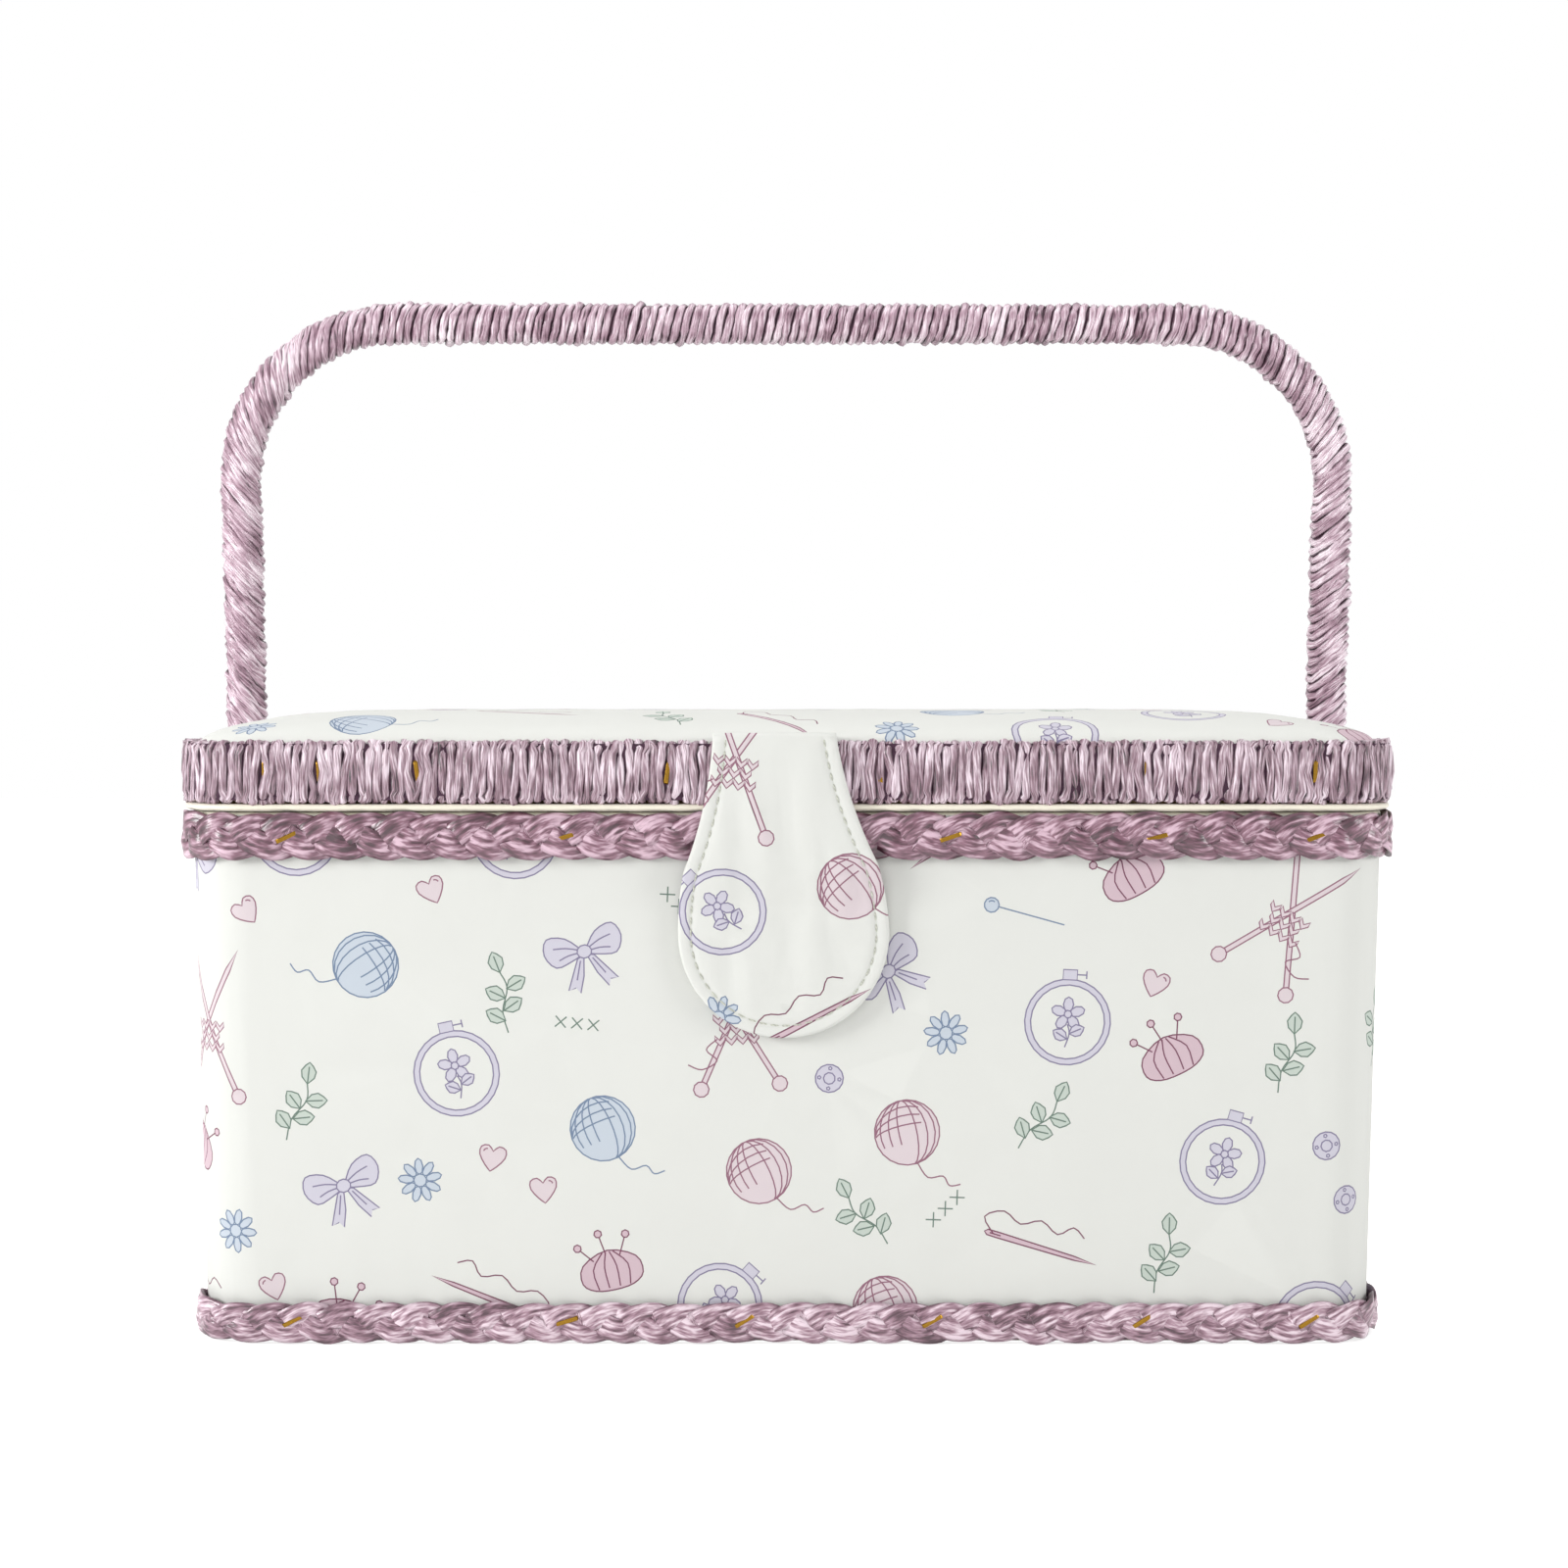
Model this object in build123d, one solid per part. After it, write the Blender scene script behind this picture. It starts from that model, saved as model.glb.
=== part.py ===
from build123d import *
import math
import os

# A cloth-covered sewing case: a boarded box with a padded lid, a swinging handle, a
# cloth tab with a magnet, and a sliding tray inside.
# Millimetres. The origin is the centre of the underside, +Z is up, and the front is -Y.

# The box, over its printed cloth at the top of the walls
case_width = 309.0
case_depth = 239.0
wall_top = 135.4
wall_lean = 2.2          # how far each wall leans in, from its top down to the table
corner_radius = 17.0
board = 3.0              # fibreboard of the walls and the base
corner_lap = 1.5         # the bent corner boards reach this far past the bend
cloth = 0.5              # printed cotton
lining = 0.6             # cream lining
base_cloth = 0.6
base_lining_board = 1.6
base_cover_inset = 1.0   # the cloth under the base stops short of the walls
glue = 0.1               # room between glued layers
seat_gap = 0.3           # room between a piece and its seat

# Plaited bands round the box
upper_braid_height = 12.2
upper_braid_thick = 3.0
lower_braid_height = 10.5
lower_braid_thick = 2.6
braid_round = 1.1

# Brass staples
staple_length = 5.6
staple_width = 1.4
staple_thick = 0.5
staple_leg = 5.4
staple_wire = 0.5
staple_slack = 0.05
# Where they stand, as shares of each wall's straight run to either side of its middle
upper_front_shares = (-0.92, -0.41, 0.30, 0.68, 0.97)
lower_staple_share = 0.56   # of the lower braid's height
lower_front_shares = (-0.92, -0.41, -0.08, 0.27, 0.66, 0.97)
rim_front_shares = (-0.96, -0.86, -0.68, -0.22, 0.17, 0.66, 0.97)
back_shares = (-0.92, -0.38, 0.0, 0.38, 0.92)
side_shares = (-0.85, -0.30, 0.30, 0.85)

# The lid
lid_gap = 0.3            # between the closed lid and the top of the box
lid_lining_thick = 1.9
lid_lining_inset = 0.8
rim_height = 16.3
rim_thick = 4.4
rim_wrap = 0.9           # winding over the flat core
rim_round = 1.2
rail_width = 9.0
rail_height = 12.3
lid_board = 2.5
pad_rise = 8.1
pad_roll = 40.0          # how far in from the edge the crown still climbs
pad_corner_growth = 0.5
dome_steps = 9
cover_cloth = 0.6
cover_skirt = 11.0       # how far the top cloth runs down behind the rim

# Pincushion under the lid
pincushion_width = 84.0
pincushion_depth = 56.0
pincushion_corner = 16.0
pincushion_rise = 12.5
pincushion_roll = 15.0
pincushion_corner_growth = -0.6

# The cloth tab
tab_top_width = 31.0
tab_radius = 26.8        # of its round lower end
tab_length = 77.6
tab_waist_drop = 15.0
tab_waist_width = 36.0
tab_shoulder_drop = 34.0
tab_shoulder_width = 49.0
tab_side_hollow = 0.4    # the side is this much narrower than the round end midway
tab_side_drop = 2.0      # and this much lower than halfway down to its centre
tab_lean_degrees = 2.6   # it hangs a little aslant
tab_offset = -3.2        # its root is a little left of the middle
tab_cloth = 0.5
tab_stiff = 1.2
tab_lift = 1.8           # from the top of the rim to the fold
tab_bend_below = 1.8     # the bend starts this far under the upper braid
tab_bend_height = 12.0
tab_wall_gap = 0.5
anchor_thick = 0.8
magnet_radius = 6.0
magnet_thick = 1.1
magnet_below_fold = 59.0
magnet_slack = 0.1

# The handle
handle_arch_height = 131.5   # from the top of the rim to the top of the bar
handle_radius = 6.6
handle_core_radius = 5.0
handle_side_gap = 1.3    # between a leg and the side of the lid
handle_spread = 2.0      # the legs stand this much wider at the top
handle_straight_above = 5.5   # the legs are straight to this far over the rim
handle_corner = 47.5     # centre-line radius of the two upper bends
handle_bend_radius = 400.0
pivot_below_braid = 27.8
cap_radius = 6.4
cap_above = 10.0
cap_below = 8.0
cap_round = 1.5
rivet_radius = 2.5
rivet_head_radius = 5.0
rivet_head_thick = 2.2
rivet_round_share = 0.6   # of the head's thickness that its rounding takes
rivet_flare_radius = 3.8
rivet_flare_thick = 1.2
running_gap = 0.08
spacer_radius = 5.0
washer_radius = 6.0
washer_thick = 1.0

# The butt hinges at the back
hinge_spread = 170.0
hinge_width = 22.0
hinge_leaf = 1.0
hinge_leaf_height = 11.0
hinge_reach = 2.5        # from the back face to the pin's axis
knuckle_radius = 2.1
knuckle_gap = 0.3
hinge_pin_radius = 1.0
hinge_pin_gap = 0.05
screw_radius = 1.1
screw_head_radius = 1.9
screw_head_thick = 0.8
screw_length = 6.8
screw_spread = 13.0
screw_height_share = 0.55   # of a leaf's height, from its knuckle to its screws

# The sliding tray and its rails
tray_length = 150.0
tray_height = 30.0
tray_wall = 1.6
tray_below_top = 18.7    # from the top of the box down to the tray's edge
tray_side_gap = 0.5
tray_corner = 14.0
tray_end_gap = 0.6
rail_size = 5.0

# Levels and outlines that follow from the sizes above
base_top = base_cloth + board
case_top = wall_top + lining
board_inset = cloth + glue
lining_inset = board_inset + board + glue
inner_inset = lining_inset + lining
lid_bottom = case_top + lid_gap
rim_bottom = lid_bottom + lid_lining_thick
rim_top = rim_bottom + rim_height
rail_inset = rim_thick + 2 * glue + cover_cloth + 2 * glue
board_bottom = rim_bottom + rail_height
pad_bottom = board_bottom + lid_board
lid_width = case_width + 2 * upper_braid_thick
lid_depth = case_depth + 2 * upper_braid_thick
lid_corner = corner_radius + upper_braid_thick
hinge_y = lid_depth / 2 + hinge_reach
hinge_z = (case_top + lid_bottom) / 2
run_x = case_width / 2 - corner_radius
run_y = case_depth / 2 - corner_radius
upper_braid_bottom = case_top - upper_braid_height
handle_top = rim_top + handle_arch_height
handle_leg_x = lid_width / 2 + handle_side_gap + handle_radius
handle_straight_top = rim_top + handle_straight_above
pivot_height = upper_braid_bottom - pivot_below_braid
tray_floor_height = case_top - tray_below_top - tray_height


def lean_at(z):
    """How far a wall has leant in at height z."""
    return wall_lean * (wall_top - z) / wall_top


def case_block(inset, bottom, top):
    """A block whose sides lean with the walls, inset from the printed cloth."""
    outlines = []
    for z in (bottom, top):
        drawn_in = inset + lean_at(z)
        outline = RectangleRounded(
            case_width - 2 * drawn_in, case_depth - 2 * drawn_in, corner_radius - inset
        )
        outlines.append(Pos(0, 0, z) * outline)
    return loft(outlines, ruled=True)


def lid_block(inset, bottom, top):
    """A straight block with the lid's outline, inset from the outside of its rim."""
    outline = RectangleRounded(lid_width - 2 * inset, lid_depth - 2 * inset, lid_corner - inset)
    return Pos(0, 0, bottom) * extrude(outline, top - bottom)


def case_ring(outside, inside, bottom, top):
    """A band of the box's wall between two insets."""
    return case_block(outside, bottom, top) - case_block(inside, bottom - 1, top + 1)


def lid_ring(outside, inside, bottom, top):
    """A band of the lid's outline between two insets."""
    return lid_block(outside, bottom, top) - lid_block(inside, bottom - 1, top + 1)


def box_between(x_range, y_range, z_range):
    """A plain box given by its ends along each axis."""
    centre = [(low + high) / 2 for low, high in (x_range, y_range, z_range)]
    sizes = [high - low for low, high in (x_range, y_range, z_range)]
    return Pos(*centre) * Box(*sizes)


def dome(width, depth, corner, rise, roll, corner_growth, grow=0.0):
    """A cushion with rolled sides and a crown, standing on z = 0.

    Its side follows a quarter ellipse, roll wide and rise high. grow moves the whole
    surface outwards, which gives the cloth over it. corner_growth is how fast the
    corners grow rounder towards the middle.
    """
    outlines = []
    for step in range(dome_steps + 1):
        turn = math.pi / 2 * step / dome_steps
        inset = roll * (1 - math.cos(turn))
        height = rise * math.sin(turn)
        across = rise * math.cos(turn)
        up = roll * math.sin(turn)
        normal = math.hypot(across, up)
        step_in = inset - grow * across / normal
        radius = corner + corner_growth * inset + grow * across / normal
        outline = RectangleRounded(width - 2 * step_in, depth - 2 * step_in, radius)
        outlines.append(Pos(0, 0, height + grow * up / normal) * outline)
    return loft(outlines, ruled=True)


def staple_legs(slack):
    """The two legs of a staple, or with slack the slots that they stand in."""
    legs = []
    for side in (-1, 1):
        x = side * (staple_length - staple_wire) / 2
        legs.append(
            box_between(
                (x - staple_wire / 2 - slack, x + staple_wire / 2 + slack),
                (-slack, staple_leg + slack),
                (-staple_width / 2 - slack, staple_width / 2 + slack),
            )
        )
    return legs


staple = box_between(
    (-staple_length / 2, staple_length / 2),
    (-staple_thick, 0),
    (-staple_width / 2, staple_width / 2),
) + staple_legs(0.0)


def staple_places(half_width, half_depth, z, front_shares):
    """Where the staples of one band stand: on all four sides, facing outwards."""
    places = []
    for share in front_shares:
        places.append(Pos(share * run_x, -half_depth, z))
    for share in back_shares:
        places.append(Pos(share * run_x, half_depth, z) * Rot(0, 0, 180))
    for share in side_shares:
        places.append(Pos(half_width, share * run_y, z) * Rot(0, 0, 90))
        places.append(Pos(-half_width, -share * run_y, z) * Rot(0, 0, -90))
    return places


def staple_band(places, vertical):
    """The staples at the given places, and the slots for their legs.

    Each staple's back lies against the band, and its legs run into the case.
    """
    turn = Rot(0, 90, 0) if vertical else Rot(0, 0, 0)
    staples = [place * turn * staple for place in places]
    slots = []
    for place in places:
        slots += [place * turn * leg for leg in staple_legs(staple_slack)]
    return staples, slots


def rod_x(x_from, x_to, radius, y, z):
    """A round bar along X."""
    length = x_to - x_from
    return Pos((x_from + x_to) / 2, y, z) * Rot(0, 90, 0) * Cylinder(radius, length)


def rod_y(y_from, y_to, radius, x, z):
    """A round bar along Y."""
    length = y_to - y_from
    return Pos(x, (y_from + y_to) / 2, z) * Rot(90, 0, 0) * Cylinder(radius, length)


def mirrored_pair(shape):
    """The piece on the right and its mirror image on the left."""
    return [shape, mirror(shape, about=Plane.YZ)]


def round_outside(band, radius, half_depth):
    """Round the outer edges of a straight-sided band."""
    edges = band.edges().filter_by(
        lambda edge: abs(edge.center().Z - band.bounding_box().min.Z) < 0.01
        or abs(edge.center().Z - band.bounding_box().max.Z) < 0.01
    )
    reach = half_depth - radius
    outer = [edge for edge in edges if is_outer(edge, reach)]
    return fillet(outer, radius)


def is_outer(edge, reach):
    """Whether an edge of a lid-shaped band lies on its outside."""
    middle = edge @ 0.5
    side = lid_width / 2 - lid_depth / 2
    if abs(middle.Y) > reach or abs(middle.X) > reach + side:
        return True
    x = abs(middle.X) - (lid_width / 2 - lid_corner)
    y = abs(middle.Y) - (lid_depth / 2 - lid_corner)
    if x < 0 or y < 0:
        return False
    return math.hypot(x, y) > lid_corner - (lid_depth / 2 - reach)


# Box: base, walls and their cloth
walls = case_ring(board_inset, board_inset + board, base_top, wall_top)
corner_reach = corner_radius + corner_lap
wall_x = case_width / 2 - corner_reach
wall_y = case_depth / 2 - corner_reach
tall = (0, wall_top + 1)
front_wall = walls & box_between((-wall_x, wall_x), (-case_depth, -wall_y), tall)
back_wall = walls & box_between((-wall_x, wall_x), (wall_y, case_depth), tall)
right_wall = walls & box_between((wall_x, case_width), (-wall_y, wall_y), tall)
left_wall = walls & box_between((-case_width, -wall_x), (-wall_y, wall_y), tall)
corners = []
for side_x in (-1, 1):
    for side_y in (-1, 1):
        x_range = sorted((side_x * wall_x, side_x * case_width))
        y_range = sorted((side_y * wall_y, side_y * case_depth))
        corners.append(walls & box_between(x_range, y_range, tall))

base_cover = case_block(base_cover_inset, 0, base_cloth)
base_board = case_block(board_inset, base_cloth, base_top)
base_lining = case_block(inner_inset + seat_gap, base_top, base_top + base_lining_board)
outer_cover = case_ring(0, cloth, base_cloth, wall_top)
wall_lining = case_ring(lining_inset, inner_inset, base_top, case_top)
lining_fold = case_ring(cloth / 2, inner_inset, wall_top, case_top)
wall_lining = wall_lining + lining_fold


# Plaited bands and their staples
upper_outside = lid_block(0, upper_braid_bottom, case_top)
upper_braid = upper_outside - case_block(-glue, upper_braid_bottom - 1, case_top + 1)
upper_braid = round_outside(upper_braid, braid_round, lid_depth / 2)
lower_spread = lower_braid_thick - wall_lean
lower_outline = RectangleRounded(
    case_width + 2 * lower_spread, case_depth + 2 * lower_spread, corner_radius + lower_spread
)
lower_outside = extrude(lower_outline, lower_braid_height)
lower_braid = lower_outside - case_block(-glue, -1, lower_braid_height + 1)

upper_places = staple_places(
    lid_width / 2, lid_depth / 2, upper_braid_bottom + upper_braid_height / 2, upper_front_shares
)
lower_places = staple_places(
    case_width / 2 + lower_spread, case_depth / 2 + lower_spread,
    lower_braid_height * lower_staple_share, lower_front_shares
)
upper_staples, upper_slots = staple_band(upper_places, vertical=False)
lower_staples, lower_slots = staple_band(lower_places, vertical=False)


# Lid
rim_wrapping = lid_ring(0, rim_thick, rim_bottom, rim_top)
rim_wrapping = round_outside(rim_wrapping, rim_round, lid_depth / 2)
rim_wrapping = rim_wrapping - lid_ring(
    rim_wrap, rim_thick - rim_wrap, rim_bottom + rim_wrap, rim_top - rim_wrap
)
rim_core = lid_ring(
    rim_wrap + glue, rim_thick - rim_wrap - glue,
    rim_bottom + rim_wrap + glue, rim_top - rim_wrap - glue
)
lid_lining_board = lid_block(lid_lining_inset, lid_bottom, rim_bottom)
lid_frame = lid_ring(rail_inset, rail_inset + rail_width, rim_bottom, board_bottom)
rail_y = lid_depth / 2 - rail_inset - rail_width
rail_span = (0, rim_top)
front_rail = lid_frame & box_between((-lid_width, lid_width), (-lid_depth, -rail_y), rail_span)
back_rail = lid_frame & box_between((-lid_width, lid_width), (rail_y, lid_depth), rail_span)
side_rails = lid_frame & box_between((-lid_width, lid_width), (-rail_y, rail_y), rail_span)
lid_panel = lid_block(rail_inset, board_bottom, pad_bottom)

pad_width = lid_width - 2 * rail_inset
pad_depth = lid_depth - 2 * rail_inset
pad_corner = lid_corner - rail_inset
pad_shape = (pad_width, pad_depth, pad_corner, pad_rise, pad_roll, pad_corner_growth)
lid_pad = Pos(0, 0, pad_bottom) * dome(*pad_shape)
cover_room = 2 * glue
cover_outside = dome(*pad_shape, grow=cover_room + cover_cloth)
cover_inside = dome(*pad_shape, grow=cover_room)
cover_top = Pos(0, 0, pad_bottom) * (cover_outside - cover_inside)
cover_skirt_ring = lid_ring(
    rail_inset - cover_room - cover_cloth, rail_inset - cover_room,
    pad_bottom - cover_skirt, pad_bottom
)
lid_top_cover = cover_top + cover_skirt_ring

rim_places = staple_places(
    lid_width / 2, lid_depth / 2, rim_bottom + rim_height / 2, rim_front_shares
)
rim_staples, rim_slots = staple_band(rim_places, vertical=True)

pincushion_dome = dome(
    pincushion_width, pincushion_depth, pincushion_corner, pincushion_rise,
    pincushion_roll, pincushion_corner_growth
)
pincushion = Pos(0, 0, lid_bottom) * Rot(180, 0, 0) * pincushion_dome


# Hinges
def knuckle(x_from, x_to):
    """One knuckle on the hinge's axis."""
    return rod_x(x_from, x_to, knuckle_radius, hinge_y, hinge_z)


def hinge(centre_x):
    """The two leaves and the pin of one butt hinge."""
    third = hinge_width / 3
    face = lid_depth / 2
    left = centre_x - hinge_width / 2
    spans = [(left + i * third, left + (i + 1) * third) for i in range(3)]
    clear = knuckle_radius + knuckle_gap
    thick = (face, face + hinge_leaf)
    far = hinge_z - clear - hinge_leaf_height
    lower = box_between((left, left + hinge_width), thick, (far, hinge_z - clear))
    for x_from, x_to in (spans[0], spans[2]):
        lower = lower + box_between((x_from, x_to), thick, (far, hinge_z))
        lower = lower + knuckle(x_from, x_to)
    far = hinge_z + clear + hinge_leaf_height
    upper = box_between((left, left + hinge_width), thick, (hinge_z + clear, far))
    x_from = spans[1][0] + knuckle_gap
    x_to = spans[1][1] - knuckle_gap
    upper = upper + box_between((x_from, x_to), thick, (hinge_z, far))
    upper = upper + knuckle(x_from, x_to)
    bore = rod_x(
        left - 1, left + hinge_width + 1, hinge_pin_radius + hinge_pin_gap, hinge_y, hinge_z
    )
    pin = rod_x(left, left + hinge_width, hinge_pin_radius, hinge_y, hinge_z)
    return lower - bore, upper - bore, pin


def leaf_screws(z, slack=0.0):
    """The two screws of each leaf at one height, or with slack the holes for them."""
    screws = []
    outside = lid_depth / 2 + hinge_leaf
    for centre_x in (-hinge_spread / 2, hinge_spread / 2):
        for side in (-1, 1):
            x = centre_x + side * screw_spread / 2
            shank = rod_y(
                outside - screw_length - slack, outside + slack, screw_radius + slack, x, z
            )
            head = rod_y(outside, outside + screw_head_thick, screw_head_radius, x, z)
            screws.append(shank + head if slack == 0 else shank)
    return screws


screw_drop = knuckle_radius + knuckle_gap + hinge_leaf_height * screw_height_share
lower_screw_z = hinge_z - screw_drop
upper_screw_z = hinge_z + screw_drop
hinge_sets = [hinge(x) for x in (-hinge_spread / 2, hinge_spread / 2)]
lower_holes = leaf_screws(lower_screw_z, staple_slack)
upper_holes = leaf_screws(upper_screw_z, staple_slack)


# Cloth tab
tab_fold_z = rim_top + tab_lift
tab_back_y = -(lid_depth / 2 + 1.2 * seat_gap)
tab_low_back_y = -(case_depth / 2 + tab_wall_gap)
tab_bend_top = upper_braid_bottom - tab_bend_below


def tab_outline():
    """The drop shape, hanging from its fold at the origin of the XZ plane."""
    half_top = tab_top_width / 2
    centre_z = -(tab_length - tab_radius)
    top = Line((-half_top, 0), (half_top, 0))
    right_waist = ThreePointArc(
        (half_top, 0), (tab_waist_width / 2, -tab_waist_drop),
        (tab_shoulder_width / 2, -tab_shoulder_drop)
    )
    right_side = ThreePointArc(
        (tab_shoulder_width / 2, -tab_shoulder_drop),
        (tab_radius - tab_side_hollow, (centre_z - tab_shoulder_drop) / 2 - tab_side_drop),
        (tab_radius, centre_z),
    )
    bottom = ThreePointArc((tab_radius, centre_z), (0, -tab_length), (-tab_radius, centre_z))
    left_side = mirror(right_side, about=Plane.YZ)
    left_waist = mirror(right_waist, about=Plane.YZ)
    return make_face([top, right_waist, right_side, bottom, left_side, left_waist])


def tab_place(shape):
    """Hang the outline from the tab's root, a little aslant."""
    return Pos(tab_offset, 0, tab_fold_z) * Rot(0, -tab_lean_degrees, 0) * shape


tab_prism = tab_place(extrude(Plane.XZ * tab_outline(), case_depth))
tab_prism = tab_prism & box_between(
    (-case_width, case_width), (-case_depth * 1.5, 0), (0, tab_fold_z)
)


def tab_sheet(near, far):
    """One layer of the tab, between two distances in front of its back face."""
    bottom = tab_fold_z - tab_length - 2
    line = [
        (tab_back_y, tab_fold_z),
        (tab_back_y, tab_bend_top),
        (tab_low_back_y, tab_bend_top - tab_bend_height),
        (tab_low_back_y, bottom),
    ]
    back = [(y - near, z) for y, z in line]
    front = [(y - far, z) for y, z in reversed(line)]
    profile = make_face(Polyline(*back, *front, close=True))
    return extrude(Plane.YZ * profile, case_width / 2, both=True) & tab_prism


magnet_z = tab_fold_z - magnet_below_fold
magnet_turn = math.radians(tab_lean_degrees)
magnet_x = tab_offset + magnet_below_fold * math.tan(magnet_turn)
tab_back_cloth = tab_sheet(0, tab_cloth)
tab_stiffener = tab_sheet(tab_cloth, tab_cloth + tab_stiff)
tab_front_cloth = tab_sheet(tab_cloth + tab_stiff, 2 * tab_cloth + tab_stiff)
magnet_back = tab_low_back_y - tab_cloth
tab_magnet = rod_y(magnet_back - magnet_thick, magnet_back, magnet_radius, magnet_x, magnet_z)
tab_stiffener = tab_stiffener - rod_y(
    magnet_back - 2 * tab_stiff, magnet_back + 1, magnet_radius + magnet_slack, magnet_x, magnet_z
)
case_magnet_front = -(case_depth / 2 - board_inset - lean_at(magnet_z)) + magnet_slack
case_magnet = rod_y(
    case_magnet_front, case_magnet_front + magnet_thick, magnet_radius, magnet_x, magnet_z
)
case_magnet_pocket = rod_y(
    case_magnet_front - 1, case_magnet_front + magnet_thick + magnet_slack,
    magnet_radius + magnet_slack, magnet_x, magnet_z
)
anchor_bottom = rim_top + seat_gap
tab_anchor = box_between(
    (tab_offset - tab_top_width / 2, tab_offset + tab_top_width / 2),
    (-lid_depth / 2 - seat_gap / 2, -lid_depth / 2 + rim_thick),
    (anchor_bottom, anchor_bottom + anchor_thick),
)


# Handle
def handle_path(start_z):
    """The centre line of the arch, from a height on one leg over to the other."""
    top_x = handle_leg_x + handle_spread
    top_z = handle_top - handle_radius
    half = [(handle_leg_x, start_z), (handle_leg_x, handle_straight_top), (top_x, top_z)]
    points = [(-x, 0, z) for x, z in half] + [(x, 0, z) for x, z in reversed(half)]
    radii = [handle_bend_radius, handle_corner, handle_corner, handle_bend_radius]
    return FilletPolyline(*points, radius=radii)


def handle_tube(start_z, radius):
    """A round bar along the arch."""
    path = handle_path(start_z)
    section = Plane(path @ 0, z_dir=path % 0) * Circle(radius)
    return sweep(section, path=path)


wrap_start = pivot_height + cap_above + seat_gap
core_start = pivot_height - cap_below + cap_radius - handle_core_radius
handle_core = handle_tube(core_start, handle_core_radius)
handle_wrapping = handle_tube(wrap_start, handle_radius)
handle_wrapping = handle_wrapping - handle_tube(wrap_start - 1, handle_core_radius + glue)
cap_bottom = pivot_height - cap_below
cap_top = pivot_height + cap_above
cap = Pos(handle_leg_x, 0, (cap_bottom + cap_top) / 2) * Cylinder(cap_radius, cap_top - cap_bottom)
cap = fillet(cap.edges().sort_by(Axis.Z)[0], cap_round)
cap_bore_bottom = cap_bottom + cap_radius - handle_core_radius - glue
cap = cap - Pos(handle_leg_x, 0, (cap_bore_bottom + cap_top + 1) / 2) * Cylinder(
    handle_core_radius + glue, cap_top + 1 - cap_bore_bottom
)
pivot_bore = rod_x(
    handle_leg_x - 2 * cap_radius, handle_leg_x + 2 * cap_radius,
    rivet_radius + running_gap, 0, pivot_height
)
cap = cap - pivot_bore
for bore in mirrored_pair(pivot_bore):
    handle_core = handle_core - bore


# Pivot rivets through the side walls
wall_face = case_width / 2 - lean_at(pivot_height)
inner_face = wall_face - inner_inset - lean_at(0) * washer_radius / wall_top
washer_outer = inner_face - glue
washer_inner = washer_outer - washer_thick
head_inner = handle_leg_x + cap_radius + seat_gap
rivet = rod_x(washer_inner - rivet_flare_thick, head_inner, rivet_radius, 0, pivot_height)
head = rod_x(head_inner, head_inner + rivet_head_thick, rivet_head_radius, 0, pivot_height)
head = fillet(head.edges().sort_by(Axis.X)[-1], rivet_head_thick * rivet_round_share)
rivet = rivet + head + rod_x(
    washer_inner - rivet_flare_thick, washer_inner, rivet_flare_radius, 0, pivot_height
)
spacer_from = wall_face + lean_at(0) * spacer_radius / wall_top + glue
spacer_to = handle_leg_x - cap_radius - seat_gap
spacer_bore = rod_x(spacer_from - 1, spacer_to + 1, rivet_radius + running_gap, 0, pivot_height)
spacer = rod_x(spacer_from, spacer_to, spacer_radius, 0, pivot_height) - spacer_bore
washer = rod_x(washer_inner, washer_outer, washer_radius, 0, pivot_height) - rod_x(
    washer_inner - 1, washer_outer + 1, rivet_radius + running_gap, 0, pivot_height
)
wall_bores = mirrored_pair(
    rod_x(inner_face - 5, wall_face + 5, rivet_radius + running_gap, 0, pivot_height)
)


# Tray and its rails
tray_inset = inner_inset + lean_at(tray_floor_height - seat_gap - rail_size)
tray_depth = case_depth - 2 * (tray_inset + tray_side_gap)
tray_left = -(washer_inner - rivet_flare_thick - tray_end_gap)
tray_centre = tray_left + tray_length / 2
tray_outline = RectangleRounded(tray_length, tray_depth, tray_corner)
tray = extrude(tray_outline, tray_height)
cell_x = (tray_length - 3 * tray_wall) / 2
cell_y = (tray_depth - 4 * tray_wall) / 3
cells = GridLocations(cell_x + tray_wall, cell_y + tray_wall, 2, 3)
cell_block = extrude(Rectangle(cell_x, cell_y), tray_height)
inside = RectangleRounded(
    tray_length - 2 * tray_wall, tray_depth - 2 * tray_wall, tray_corner - tray_wall
)
inside = Pos(0, 0, tray_wall) * extrude(inside, tray_height)
tray = tray - [place * cell_block & inside for place in cells]
tray = Pos(tray_centre, 0, tray_floor_height) * tray

rail_top = tray_floor_height - seat_gap
rail_block = case_block(inner_inset + glue, rail_top - rail_size, rail_top) - case_block(
    inner_inset + glue + rail_size, rail_top - rail_size - 1, rail_top + 1
)
tray_rails = rail_block & box_between(
    (-wall_x, wall_x), (-case_depth, case_depth), (0, wall_top)
)


# Slots, bores and pockets that pass through the layers
def cut(shape, tools):
    """Take away from a shape every tool that reaches it."""
    room = shape.bounding_box()
    near = [tool for tool in tools if room.overlaps(tool.bounding_box())]
    return shape - near if near else shape


def pierce(shape, slots, holes):
    """Cut the staple slots and then the round holes through a shape."""
    return cut(cut(shape, slots), holes)


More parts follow.
